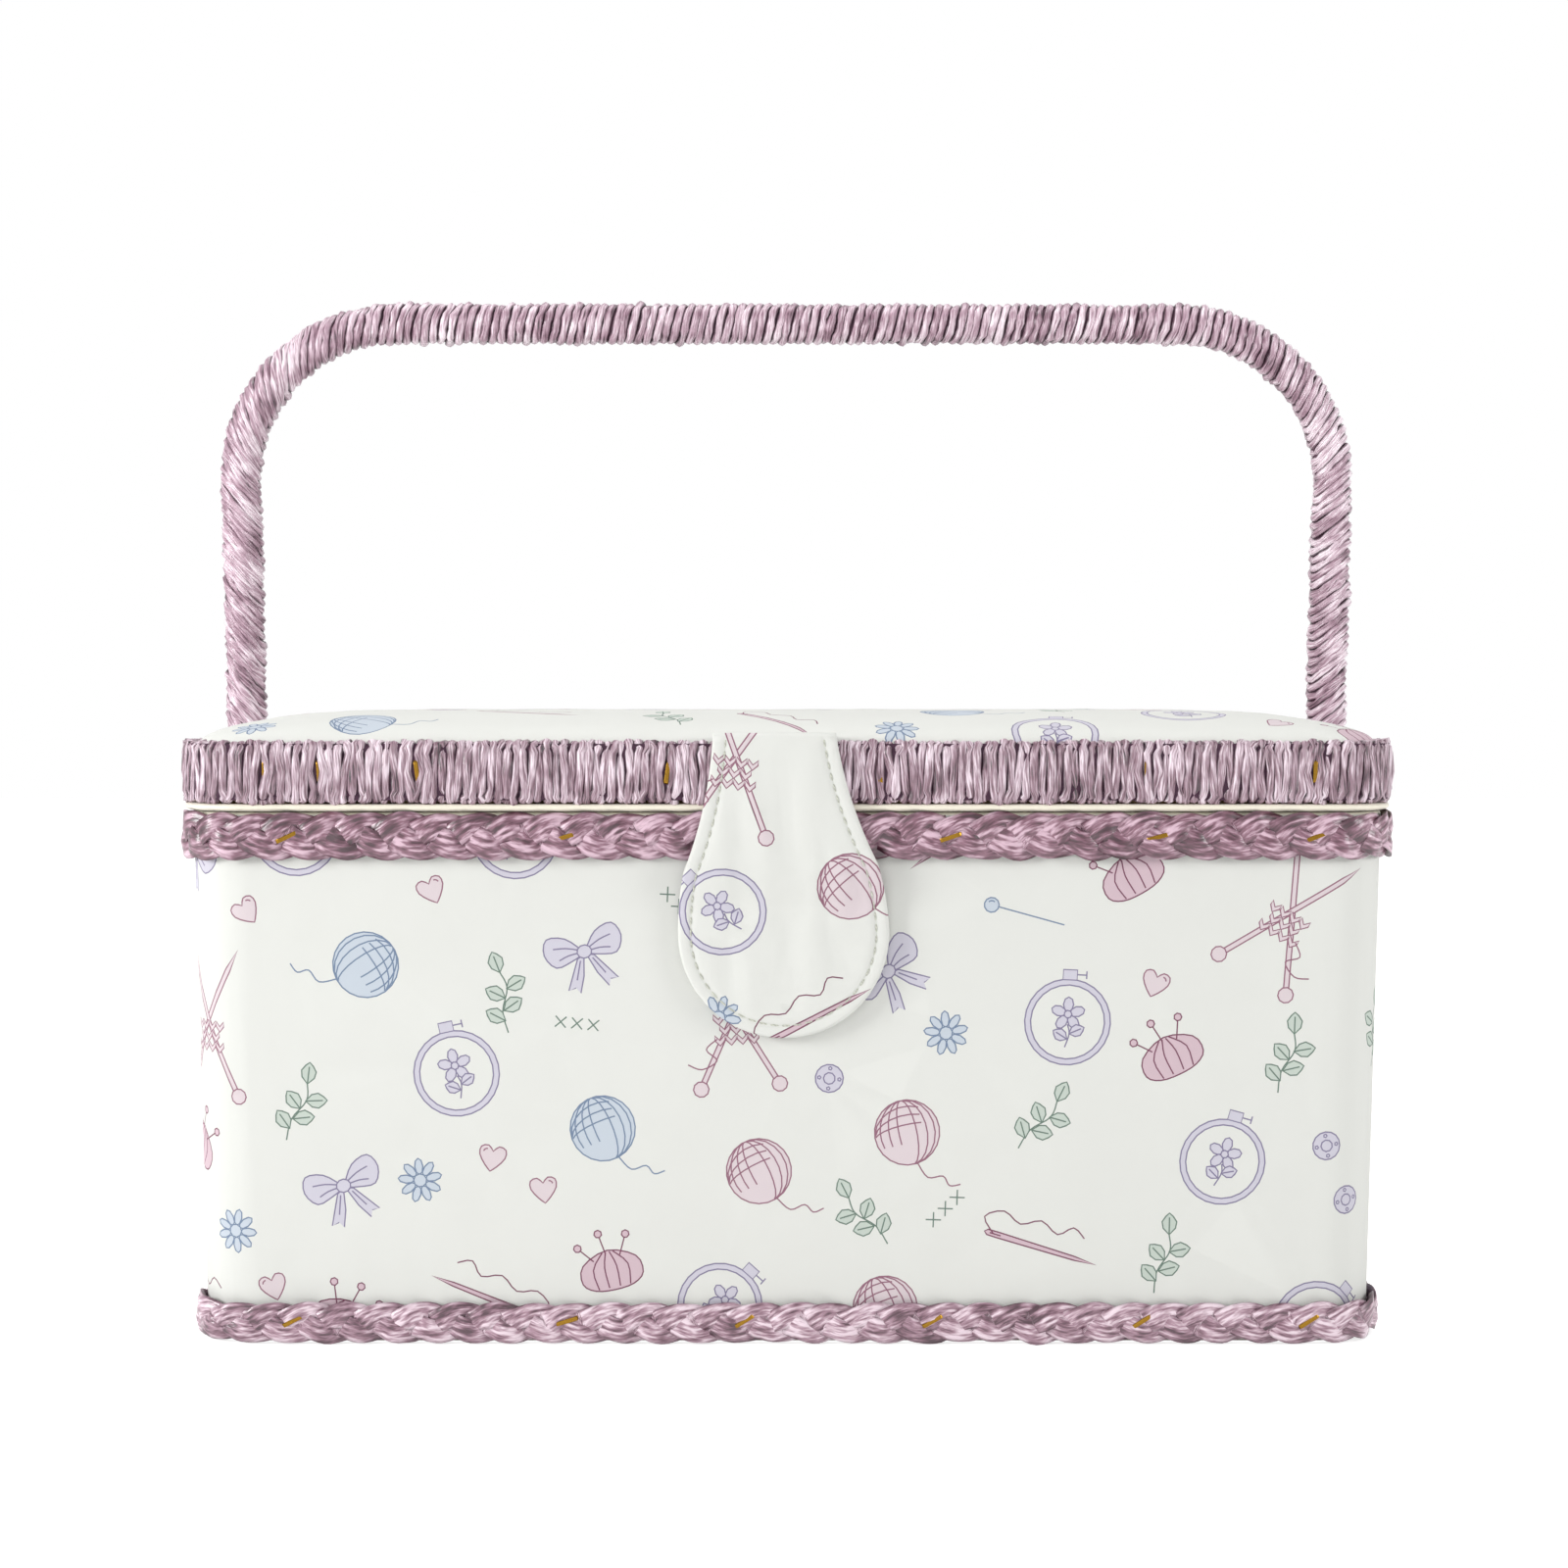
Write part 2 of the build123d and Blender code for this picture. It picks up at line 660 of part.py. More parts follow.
braid_slots = upper_slots + lower_slots
front_wall = pierce(front_wall, braid_slots, [case_magnet_pocket])
back_wall = pierce(back_wall, braid_slots, lower_holes)
left_wall = pierce(left_wall, braid_slots, wall_bores)
right_wall = pierce(right_wall, braid_slots, wall_bores)
outer_cover = pierce(outer_cover, braid_slots, lower_holes + wall_bores)
base_board = cut(base_board, lower_slots)
wall_lining = cut(wall_lining, wall_bores)
upper_braid = pierce(upper_braid, upper_slots, lower_holes)
lower_braid = cut(lower_braid, lower_slots)
corners = [cut(corner, braid_slots) for corner in corners]

rim_wrapping = pierce(rim_wrapping, rim_slots, upper_holes)
rim_core = pierce(rim_core, rim_slots, upper_holes)
lid_top_cover = pierce(lid_top_cover, rim_slots, upper_holes)
front_rail = cut(front_rail, rim_slots)
back_rail = pierce(back_rail, rim_slots, upper_holes)
side_rails = cut(side_rails, rim_slots)

lower_leaves = [cut(hinge_set[0], lower_holes) for hinge_set in hinge_sets]
upper_leaves = [cut(hinge_set[1], upper_holes) for hinge_set in hinge_sets]


pieces = {
    "base_cover": base_cover,
    "base_board": base_board,
    "base_lining": base_lining,
    "front_wall_board": front_wall,
    "back_wall_board": back_wall,
    "left_wall_board": left_wall,
    "right_wall_board": right_wall,
    "corner_boards": corners,
    "outer_cover": outer_cover,
    "wall_lining": wall_lining,
    "upper_braid": upper_braid,
    "upper_braid_staples": upper_staples,
    "lower_braid": lower_braid,
    "lower_braid_staples": lower_staples,
    "tray_rails": tray_rails,
    "case_magnet": case_magnet,
    "pivot_rivets": mirrored_pair(rivet),
    "pivot_spacers": mirrored_pair(spacer),
    "pivot_washers": mirrored_pair(washer),
    "hinge_lower_leaves": lower_leaves,
    "hinge_pins": [hinge_set[2] for hinge_set in hinge_sets],
    "hinge_lower_screws": leaf_screws(lower_screw_z),
    "lid_lining_board": lid_lining_board,
    "lid_front_rail": front_rail,
    "lid_back_rail": back_rail,
    "lid_side_rails": side_rails,
    "lid_board": lid_panel,
    "lid_pad": lid_pad,
    "lid_top_cover": lid_top_cover,
    "rim_core": rim_core,
    "rim_wrapping": rim_wrapping,
    "rim_staples": rim_staples,
    "hinge_upper_leaves": upper_leaves,
    "hinge_upper_screws": leaf_screws(upper_screw_z),
    "pincushion": pincushion,
    "tab_anchor": tab_anchor,
    "tab_back_cloth": tab_back_cloth,
    "tab_stiffener": tab_stiffener,
    "tab_magnet": tab_magnet,
    "tab_front_cloth": tab_front_cloth,
    "handle_core": handle_core,
    "handle_wrapping": handle_wrapping,
    "handle_end_caps": mirrored_pair(cap),
    "tray": tray,
}

os.makedirs("parts", exist_ok=True)
for name, shape in pieces.items():
    solids = []
    for item in shape if isinstance(shape, list) else [shape]:
        solids += item.solids()
    whole = solids[0] if len(solids) == 1 else Compound(children=solids)
    export_step(whole, f"parts/{name}.step")

print("hinge axis y, z:", round(hinge_y, 3), round(hinge_z, 3))
print("tab axis y, z:", round(tab_back_y, 3), round(tab_fold_z, 3))
print("pivot z:", round(pivot_height, 3))
tray_travel = -2 * tray_left - tray_length
print("tray left end and travel:", round(tray_left, 3), round(tray_travel, 3))
print("magnet x, z:", round(magnet_x, 3), round(magnet_z, 3))
print("top of the lid:", round(pad_bottom + pad_rise + cover_room + cover_cloth, 3))
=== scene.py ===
"""A cloth-covered sewing case: the finished look of each piece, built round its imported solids."""
import math
import random
from functools import partial

import bmesh
import bpy
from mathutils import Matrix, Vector, noise
from mathutils.bvhtree import BVHTree
from mathutils.geometry import delaunay_2d_cdt


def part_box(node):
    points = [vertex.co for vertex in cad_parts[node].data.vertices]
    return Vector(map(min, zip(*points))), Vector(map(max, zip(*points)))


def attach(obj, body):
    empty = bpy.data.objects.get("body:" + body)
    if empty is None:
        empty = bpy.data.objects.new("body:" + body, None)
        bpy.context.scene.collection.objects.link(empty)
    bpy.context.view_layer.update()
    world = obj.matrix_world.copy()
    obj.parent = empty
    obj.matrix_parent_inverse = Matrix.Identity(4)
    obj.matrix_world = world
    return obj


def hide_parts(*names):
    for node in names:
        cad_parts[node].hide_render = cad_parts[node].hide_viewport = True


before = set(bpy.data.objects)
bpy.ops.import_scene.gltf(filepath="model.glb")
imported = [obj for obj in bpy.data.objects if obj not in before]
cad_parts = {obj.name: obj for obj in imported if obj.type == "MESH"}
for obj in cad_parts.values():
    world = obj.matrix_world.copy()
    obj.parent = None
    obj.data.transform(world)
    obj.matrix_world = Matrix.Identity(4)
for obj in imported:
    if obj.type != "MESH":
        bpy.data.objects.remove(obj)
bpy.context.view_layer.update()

bl_info = {
    "name": "Sewing case",
    "version": (1, 0, 0),
    "blender": (4, 5, 0),
    "location": "3D View > Sidebar > Sewing case",
    "description": "Builds a cloth-covered sewing case with plaited bands and a cord-wound handle",
    "category": "Object",
}

MM = 0.001
MICRON = 0.000001


# Places and sizes read from the frame

LID_LOW, LID_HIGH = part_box("rim_wrapping")
WALL_LOW, WALL_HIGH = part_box("outer_cover")
UPPER_LOW, UPPER_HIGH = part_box("upper_braid")
LOWER_LOW, LOWER_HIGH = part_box("lower_braid")
TOP_LOW, TOP_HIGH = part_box("lid_top_cover")
HANDLE_LOW, HANDLE_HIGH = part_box("handle_wrapping")
CUSHION_LOW, CUSHION_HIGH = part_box("pincushion")
BASE_LOW, BASE_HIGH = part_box("base_lining")
LID_LINING_LOW, LID_LINING_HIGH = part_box("lid_lining_board")
LEAN = 2.2 * MM  # how far the walls lean in at the foot
CORNER = 17 * MM
LID_CORNER = 20 * MM
CLOTH = 0.45  # thickness of the walls' cloth in millimetres
LID_FOOT = 153.0  # height in millimetres at which the pad stands on the lid's board
SHARP = math.radians(48)  # faces that meet more steeply keep a sharp edge


# Helpers for materials and meshes

FAMILIES = ("GeometryNode", "ShaderNode", "FunctionNode")


def linear(code):
    """A linear RGBA colour from an sRGB hex code."""
    channels = [int(code[i:i + 2], 16) / 255 for i in (1, 3, 5)]
    channels = [c / 12.92 if c <= 0.04045 else ((c + 0.055) / 1.055) ** 2.4 for c in channels]
    return (*channels, 1.0)


def feed(node, values):
    """Link or set a node's inputs: a socket's name or number to a node, a socket or a value."""
    for key, value in values.items():
        socket = node.inputs[key]
        if isinstance(value, bpy.types.Node):
            value = value.outputs[0]
        if isinstance(value, bpy.types.NodeSocket):
            node.id_data.links.new(value, socket)
        else:
            socket.default_value = value


def add(tree, kind, *values, **settings):
    """Add a node with its settings and links; values go to its inputs in order, or by name.

    The kind is the end of the node's class name, and its operation may follow after a space.
    """
    kind, _, operation = kind.partition(" ")
    family = next(start for start in FAMILIES if hasattr(bpy.types, start + kind))
    node = tree.nodes.new(family + kind)
    if operation:
        node.operation = operation
    for name, value in settings.items():
        setattr(node, name, value)
    for number, value in enumerate(values):
        feed(node, value if isinstance(value, dict) else {number: value})
    return node


def new_material(name):
    """An empty node material, the function that adds nodes to it, and its shader."""
    material = bpy.data.materials.new(name)
    material.use_nodes = True
    material.node_tree.nodes.clear()
    put = partial(add, material.node_tree)
    shader = put("BsdfPrincipled")
    put("OutputMaterial", {"Surface": shader})
    return material, put, shader


def set_ramp(node, stops):
    """Give a colour ramp its stops: (place, colour) pairs."""
    elements = node.color_ramp.elements
    while len(elements) > 1:
        elements.remove(elements[-1])
    elements[0].position, elements[0].color = stops[0]
    for place, colour in stops[1:]:
        elements.new(place).color = colour


def keep_mesh(name, mesh, body, material, replaces=()):
    """Turn a mesh into a piece of the case that rides on a body."""
    piece = bpy.data.objects.new(name, mesh)
    bpy.context.scene.collection.objects.link(piece)
    if material and not mesh.materials:
        mesh.materials.append(material)
    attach(piece, body)
    if replaces:
        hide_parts(*replaces)
    return piece


def mesh_from(name, points, faces, smooth=True):
    """A mesh from points and faces, shaded smooth unless told otherwise."""
    mesh = bpy.data.meshes.new(name)
    mesh.from_pydata(points, [], faces)
    mesh.update()
    for polygon in mesh.polygons:
        polygon.use_smooth = smooth
    if smooth:
        mesh.set_sharp_from_angle(angle=SHARP)
    return mesh


def outline_points(half_x, half_y, corner, step):
    """Points round a rounded rectangle, anticlockwise from the middle of its back."""
    run_x = half_x - corner
    run_y = half_y - corner
    turns = max(4, round(corner * math.pi / 2 / step))
    points = []

    def straight(start, end):
        start, end = Vector(start), Vector(end)
        count = max(1, round((end - start).length / step))
        points.extend(start.lerp(end, i / count) for i in range(count))

    def bend(centre, first):
        for i in range(turns):
            angle = first + math.pi / 2 * i / turns
            points.append(Vector(centre) + Vector((math.cos(angle), math.sin(angle))) * corner)

    straight((0, half_y), (-run_x, half_y))
    bend((-run_x, run_y), math.pi / 2)
    straight((-half_x, run_y), (-half_x, -run_y))
    bend((-run_x, -run_y), math.pi)
    straight((-run_x, -half_y), (run_x, -half_y))
    bend((run_x, -run_y), -math.pi / 2)
    straight((half_x, -run_y), (half_x, run_y))
    bend((run_x, run_y), 0)
    straight((run_x, half_y), (0, half_y))
    return points


def path_object(points, cyclic):
    """A poly curve through points, used as a path for a node tree."""
    curve = bpy.data.curves.new("path", "CURVE")
    curve.dimensions = "3D"
    spline = curve.splines.new("POLY")
    spline.points.add(len(points) - 1)
    for target, point in zip(spline.points, points):
        target.co = (*point, 1.0)
    spline.use_cyclic_u = cyclic
    path = bpy.data.objects.new("path", curve)
    bpy.context.scene.collection.objects.link(path)
    return path


def ring_path(half_x, half_y, corner, height):
    """A closed path round a rounded rectangle, and its length."""
    ring = outline_points(half_x, half_y, corner, 3 * MM)
    length = sum((ring[i] - ring[i - 1]).length for i in range(len(ring)))
    return path_object([(p.x, p.y, height) for p in ring], True), length


def grown_mesh(name, path, tree, values):
    """Run a node tree on a path and keep its result as a plain mesh."""
    modifier = path.modifiers.new("grow", "NODES")
    modifier.node_group = tree
    sockets = {item.name: item.identifier for item in tree.interface.items_tree
               if item.in_out == "INPUT"}
    for label, value in values.items():
        modifier[sockets[label]] = value
    graph = bpy.context.evaluated_depsgraph_get()
    graph.update()
    mesh = bpy.data.meshes.new_from_object(path.evaluated_get(graph))
    mesh.name = name
    data = path.data
    path.modifiers.remove(modifier)
    bpy.data.objects.remove(path)
    if isinstance(data, bpy.types.Curve):
        bpy.data.curves.remove(data)
    else:
        bpy.data.meshes.remove(data)
    return mesh


def new_tree(name, sockets):
    """A geometry node tree, the function that adds nodes to it, its inputs and its end.

    The inputs are named by (name, socket type, default).
    """
    tree = bpy.data.node_groups.new(name, "GeometryNodeTree")
    tree.interface.new_socket("Path", in_out="INPUT", socket_type="NodeSocketGeometry")
    for label, kind, default in sockets:
        item = tree.interface.new_socket(label, in_out="INPUT", socket_type="NodeSocket" + kind)
        if default is not None:
            item.default_value = default
    tree.interface.new_socket("Geometry", in_out="OUTPUT", socket_type="NodeSocketGeometry")
    given = tree.nodes.new("NodeGroupInput")
    result = tree.nodes.new("NodeGroupOutput")
    return tree, partial(add, tree), given.outputs, result


# Materials

MATERIALS = {}
STREAKS_PER_METRE = 230.0
STRANDS_APART = 37.0  # how far apart two strands read the same noise


def raffia_material(name, light, middle, dark, deep_and_shade, streak=0.78, edge=0.62):
    """Paper raffia, twisted paper with a satin face: streaked tones with painted highlights, and
    painted shade on each strand's sides.
    """
    material, put, shader = new_material(name)
    grain = put("Attribute", attribute_name="grain")
    strand = put("Attribute", attribute_name="strand")
    place = put("Attribute", attribute_name="along")
    long_step = put("Math MULTIPLY", place.outputs["Fac"], STREAKS_PER_METRE)
    lift = put("Math ADD", long_step, put("Math MULTIPLY", strand.outputs["Fac"], STRANDS_APART))
    section = put("SeparateXYZ", grain.outputs["Vector"])
    lift = put("Math MULTIPLY_ADD", section.outputs["Y"], 1.5, lift)
    rise = put("CombineXYZ", {"Z": lift})
    spread = put("VectorMath MULTIPLY", grain.outputs["Vector"], (2.1, 2.1, 2.1))
    spot = put("VectorMath ADD", spread, rise)
    streaks = put("TexNoise", {"Vector": spot, "Scale": 1.0, "Detail": 2.5, "Roughness": 0.55})
    texture = put("TexCoord")
    patches = put("TexNoise", {"Vector": texture.outputs["Object"], "Scale": 130.0, "Detail": 2.0,
        "Roughness": 0.5})
    tone = put("Math MULTIPLY_ADD", streaks, streak, 0.39 - streak / 2)
    tone = put("Math MULTIPLY_ADD", patches, 0.3, tone)
    tone = put("Math MULTIPLY_ADD", strand.outputs["Fac"], 0.09, tone)
    # The ramp runs from the darkest tone to the lightest: partly the paper's own uneven tone, partly
    # painted highlights at the light end and painted shade at the dark end.
    ramp = put("ValToRGB", {"Fac": tone})
    set_ramp(ramp, [(0.43, linear(deep_and_shade)), (0.50, linear(dark)), (0.59, linear(middle)),
                    (0.71, linear(light))])
    # Painted shade: towards each strand's sides, where it meets the next strand, its colour turns to
    # the darkest tone; edge is where this shade ends on its crown.
    crown = put("MapRange", {"Value": section.outputs["X"], "From Min": edge - 0.67,
        "From Max": edge, "To Min": 0.16, "To Max": 1.0}, interpolation_type="SMOOTHSTEP")
    between = put("Mix", {"Factor": crown, 6: linear(deep_and_shade), 7: ramp}, data_type="RGBA")
    creases = put("Bump", {"Height": streaks, "Strength": 0.8, "Distance": 0.45 * MM})
    feed(shader, {"Base Color": between.outputs[2], "Normal": creases, "Roughness": 0.3,
        "IOR": 1.5, "Specular IOR Level": 0.8})
    return material


def printed_cotton():
    """Plain-weave cotton with a matt pigment print: dull, with a fine grid of threads."""
    if "cotton" in MATERIALS:
        return MATERIALS["cotton"]
    material, put, shader = new_material("Printed cotton, plain weave")
    thread = 0.5 * MM
    uv = put("UVMap", uv_map="Cloth")
    threads = []
    for axis in ("X", "Y"):
        wave = put("TexWave", {"Vector": uv, "Scale": 1.0 / thread / 3.14, "Distortion": 0.6,
            "Detail": 1.0, "Detail Scale": 1.3}, wave_type="BANDS", bands_direction=axis)
        threads.append(wave.outputs["Fac"])
    weave = put("Math MULTIPLY", threads[0], threads[1])
    slubs = put("TexNoise", {"Vector": uv, "Scale": 420.0, "Detail": 3.0, "Roughness": 0.6})
    ink = put("Attribute", attribute_name="ink")
    shade = put("MapRange", {"Value": weave, "To Min": 0.9, "To Max": 1.0})
    mottle = put("MapRange", {"Value": slubs, "From Min": 0.3, "From Max": 0.7, "To Min": 0.965,
        "To Max": 1.0})
    both = put("Math MULTIPLY", shade, mottle)
    tinted = put("VectorMath SCALE", ink.outputs["Color"], {"Scale": both})
    bump = put("Bump", {"Height": weave, "Strength": 0.35, "Distance": 0.06 * MM})
    feed(shader, {"Base Color": tinted, "Normal": bump, "Roughness": 0.82, "Sheen Weight": 0.05,
        "Specular IOR Level": 0.3})
    MATERIALS["cotton"] = material
    return material


def metal_material(name, colour, roughness, brush_scale):
    """Drawn or rolled metal: an even colour, with fine draw marks in its gloss."""
    material, put, shader = new_material(name)
    texture = put("TexCoord")
    marks = put("TexNoise", {"Vector": texture.outputs["Object"], "Scale": brush_scale,
        "Detail": 3.0, "Roughness": 0.6})
    tone = put("MapRange", {"Value": marks, "To Min": 0.82, "To Max": 1.08})
    rgb = put("RGB")
    rgb.outputs[0].default_value = linear(colour)
    worn = put("VectorMath SCALE", rgb, {"Scale": tone})
    gloss = put("MapRange", {"Value": marks, "To Min": roughness - 0.08,
        "To Max": roughness + 0.1})
    feed(shader, {"Base Color": worn, "Roughness": gloss, "Metallic": 1.0})
    return material


def grained_material(name, light, dark, scale, stretch, roughness):
    """Wood, cane or pressed fibre: streaks of two tones along one way."""
    material, put, shader = new_material(name)
    texture = put("TexCoord")
    turned = put("Mapping", {"Vector": texture.outputs["Object"], "Scale": stretch})
    grain = put("TexNoise", {"Vector": turned, "Scale": scale, "Detail": 5.0, "Roughness": 0.62})
    ramp = put("ValToRGB", {"Fac": grain})
    set_ramp(ramp, [(0.35, linear(dark)), (0.65, linear(light))])
    bump = put("Bump", {"Height": grain, "Strength": 0.2, "Distance": 0.1 * MM})
    feed(shader, {"Base Color": ramp, "Normal": bump, "Roughness": roughness})
    return material


def plastic_material(name, colour, roughness):
    """Moulded plastic with a faint bloom in its gloss."""
    material, put, shader = new_material(name)
    texture = put("TexCoord")
    bloom = put("TexNoise", {"Vector": texture.outputs["Object"], "Scale": 60.0, "Detail": 3.0})
    gloss = put("MapRange", {"Value": bloom, "To Min": roughness - 0.06,
        "To Max": roughness + 0.08})
    skin = put("TexNoise", {"Vector": texture.outputs["Object"], "Scale": 900.0, "Detail": 2.0})
    bump = put("Bump", {"Height": skin, "Strength": 0.08, "Distance": 0.05 * MM})
    tone = put("MapRange", {"Value": bloom, "To Min": 0.97, "To Max": 1.0})
    rgb = put("RGB")
    rgb.outputs[0].default_value = linear(colour)
    tinted = put("VectorMath SCALE", rgb, {"Scale": tone})
    feed(shader, {"Base Color": tinted, "Roughness": gloss, "Normal": bump,
        "IOR": 1.49})
    return material


# Node trees for what is wound and plaited

NOISE_LOW, NOISE_HIGH = 0.25, 0.75  # where nearly all of a noise texture's values lie
STARTS_APART = 71.3  # numbers that keep the draws of two cords or two uses apart
LEANS_APART = 0.37
SWELLS_APART = 211.0
STRANDS_OF_PLAIT_APART = 517.0
PLAIT_SWELLS_APART = 91.0
WANDER_STEP = 0.31  # how far a cord's noise runs on from point to point
PLAIT_STEP = 0.11
STANDS_OFF = 0.32  # how far a cord rises and sinks, as a share of its radius
SITS_DEEPER = -0.9

def winding_tree():
    """Cords wound side by side round a path whose section is round or a flat band."""
    tree, put, given, result = new_tree("Winding", [
        ("Turns", "Int", 100), ("Starts", "Int", 1), ("Points per Turn", "Int", 14),
        ("Side Axis", "Vector", (0, 0, 1)), ("Half Out", "Float", 0.002),
        ("Half Side", "Float", 0.008), ("Squareness", "Float", 1.0),
        ("Cord Radius", "Float", 0.001), ("Flatness", "Float", 0.6), ("Wander", "Float", 0.001),
        ("Slant", "Float", 0.0), ("Tilt", "Float", 0.0), ("Twist", "Float", 1.0),
        ("Seed", "Float", 1.0),
        ("Cyclic", "Bool", False), ("Pins", "Object", None), ("Parting", "Float", 0.0),
        ("Material", "Material", None),
    ])
    total = put("Math MULTIPLY", given["Turns"], given["Points per Turn"])
    points = put("Points", {"Count": total})
    index = put("InputIndex")
    each = put("Math DIVIDE", total, given["Starts"])
    which = put("Math FLOOR", put("Math DIVIDE", index, each))
    local = put("Math MODULO", index, each)
    factor = put("Math DIVIDE", local, each)
    turn = put("Math DIVIDE", local, given["Points per Turn"])
    turn = put("Math ADD", turn, put("Math DIVIDE", which, given["Starts"]))
    angle = put("Math MULTIPLY", turn, math.tau)
    steady = put("Math FLOOR", put("Math ADD", turn, 0.5))
    lot = put("Math ADD", put("Math MULTIPLY_ADD", which, STARTS_APART, steady), given["Seed"])
    chance = put("TexWhiteNoise", {"W": lot}, noise_dimensions="1D")
    other_lot = put("Math ADD", lot, LEANS_APART)
    own_lean = put("TexWhiteNoise", {"W": other_lot}, noise_dimensions="1D")
    own_lean = put("Math SUBTRACT", own_lean, 0.5)
    spot = put("SampleCurve", {"Curves": given["Path"], "Factor": factor}, mode="FACTOR",
        use_all_curves=True)
    across = put("VectorMath CROSS_PRODUCT", spot.outputs["Tangent"], given["Side Axis"])
    out = put("VectorMath NORMALIZE", across)
    shaped = []
    for operation in ("COSINE", "SINE"):
        wave = put("Math", angle, operation=operation)
        size = put("Math ABSOLUTE", wave)
        power = put("Math POWER", size, given["Squareness"])
        sign = put("Math SIGN", wave)
        shaped.append(put("Math MULTIPLY", power, sign))
    step = put("Math ADD", put("Math MULTIPLY", index, WANDER_STEP), given["Seed"])
    sway = put("TexNoise", {"W": step, "Scale": 1.0, "Detail": 2.0}, noise_dimensions="1D")
    sway_centred = put("Math SUBTRACT", sway, 0.5)
    drift = put("Math MULTIPLY", sway_centred, given["Wander"])
    lean = put("Math MULTIPLY", put("Math MULTIPLY", shaped[1], given["Slant"]), own_lean)
    drift = put("Math ADD", drift, lean)
    rise = put("VectorMath DOT_PRODUCT", spot.outputs["Tangent"], (0.0, 0.0, 1.0))
    tilt = put("Math MULTIPLY", rise.outputs["Value"], given["Tilt"])
    drift = put("Math ADD", drift, put("Math MULTIPLY", tilt, shaped[0]))
    other = put("Math ADD", step, SWELLS_APART)
    swell = put("TexNoise", {"W": other, "Scale": 1.9, "Detail": 1.0}, noise_dimensions="1D")
    lift = put("MapRange", {"Value": swell, "From Min": NOISE_LOW,
        "From Max": NOISE_HIGH, "To Min": -STANDS_OFF, "To Max": STANDS_OFF})
    own_stand = put("Math MULTIPLY", put("Math SUBTRACT", chance, 0.5), shaped[0])
    lift = put("Math MULTIPLY_ADD", put("Math ABSOLUTE", own_stand), SITS_DEEPER, lift)
    stand = put("Math MULTIPLY", lift, given["Cord Radius"])
    far = put("Math ADD", given["Half Out"], stand)
    wide = put("Math ADD", given["Half Side"], stand)
    out_by = put("Math MULTIPLY", shaped[0], far)
    side_by = put("Math MULTIPLY", shaped[1], wide)
    reach = put("VectorMath SCALE", out, {"Scale": out_by})
    sidle = put("VectorMath SCALE", given["Side Axis"], {"Scale": side_by})
    along = put("VectorMath SCALE", spot.outputs["Tangent"], {"Scale": drift})
    place = put("VectorMath ADD", put("VectorMath ADD", spot.outputs["Position"], reach), sidle)
    place = put("VectorMath ADD", place, along)
    beside_by, near_by, far_by = 0.4 * MM, 1.2 * MM, 4.6 * MM  # how cords part round a staple
    pinned = put("ObjectInfo", {"Object": given["Pins"]}, transform_space="ORIGINAL")
    nearest = put("Proximity", {0: pinned.outputs["Geometry"], 2: place}, target_element="POINTS")
    off = put("VectorMath SUBTRACT", place, nearest.outputs["Position"])
    beside = put("VectorMath DOT_PRODUCT", off, spot.outputs["Tangent"])
    side = put("MapRange", {"Value": beside.outputs["Value"], "From Min": -beside_by,
        "From Max": beside_by, "To Min": -1.0, "To Max": 1.0})
    close = put("MapRange", {"Value": nearest.outputs["Distance"], "From Min": near_by,
        "From Max": far_by, "To Min": 1.0, "To Max": 0.0}, interpolation_type="SMOOTHSTEP")
    push = put("Math MULTIPLY", put("Math MULTIPLY", side, close), given["Parting"])
    parted = put("VectorMath SCALE", spot.outputs["Tangent"], {"Scale": push})
    place = put("VectorMath ADD", place, parted)
    sine = put("Math SINE", angle)
    up = put("VectorMath SCALE", out, {"Scale": shaped[0]})
    aside = put("VectorMath SCALE", given["Side Axis"], {"Scale": sine})
    facing = put("VectorMath NORMALIZE", put("VectorMath ADD", up, aside))
    turned = put("Math MULTIPLY", sway_centred, given["Twist"])
    thick = put("MapRange", {"Value": swell, "From Min": NOISE_LOW,
        "From Max": NOISE_HIGH, "To Min": 0.82, "To Max": 1.18})
    thick = put("Math MULTIPLY", thick, given["Cord Radius"])
    skin = creased_profile(put, 8, given["Flatness"], depth=0.13, creases=3.0)
    lay_cords(put, points, which, place, facing, chance, given["Cyclic"], turned, thick, skin,
              given["Material"], result)
    return tree


def creased_profile(put, sides, flatness, depth, creases):
    """The section of a folded paper strand: an oval with a few creases."""
    circle = put("CurvePrimitiveCircle", {"Resolution": sides, "Radius": 1.0}, mode="RADIUS")
    position = put("InputPosition")
    circle = put("StoreNamedAttribute", {"Geometry": circle, "Name": "grain", "Value": position},
        data_type="FLOAT_VECTOR", domain="POINT")
    split = put("SeparateXYZ", position)
    heading = put("Math ARCTAN2", split.outputs["Y"], split.outputs["X"])
    fold = put("Math COSINE", put("Math MULTIPLY", heading, creases))
    fold = put("Math MULTIPLY_ADD", fold, depth, 1.0)
    folded = put("VectorMath SCALE", position, {"Scale": fold})
    narrow = put("CombineXYZ", {"X": flatness, "Y": 1.0, "Z": 1.0})
    oval = put("VectorMath MULTIPLY", folded, narrow)
    return put("SetPosition", {"Geometry": circle, "Position": oval})


def finish_tree(put, shape, material, result):
    """Make a shape real, give it its material and end the tree."""
    shape = put("RealizeInstances", {"Geometry": shape})
    shape = put("SetMaterial", {"Geometry": shape, "Material": material})
    feed(result, {0: shape})


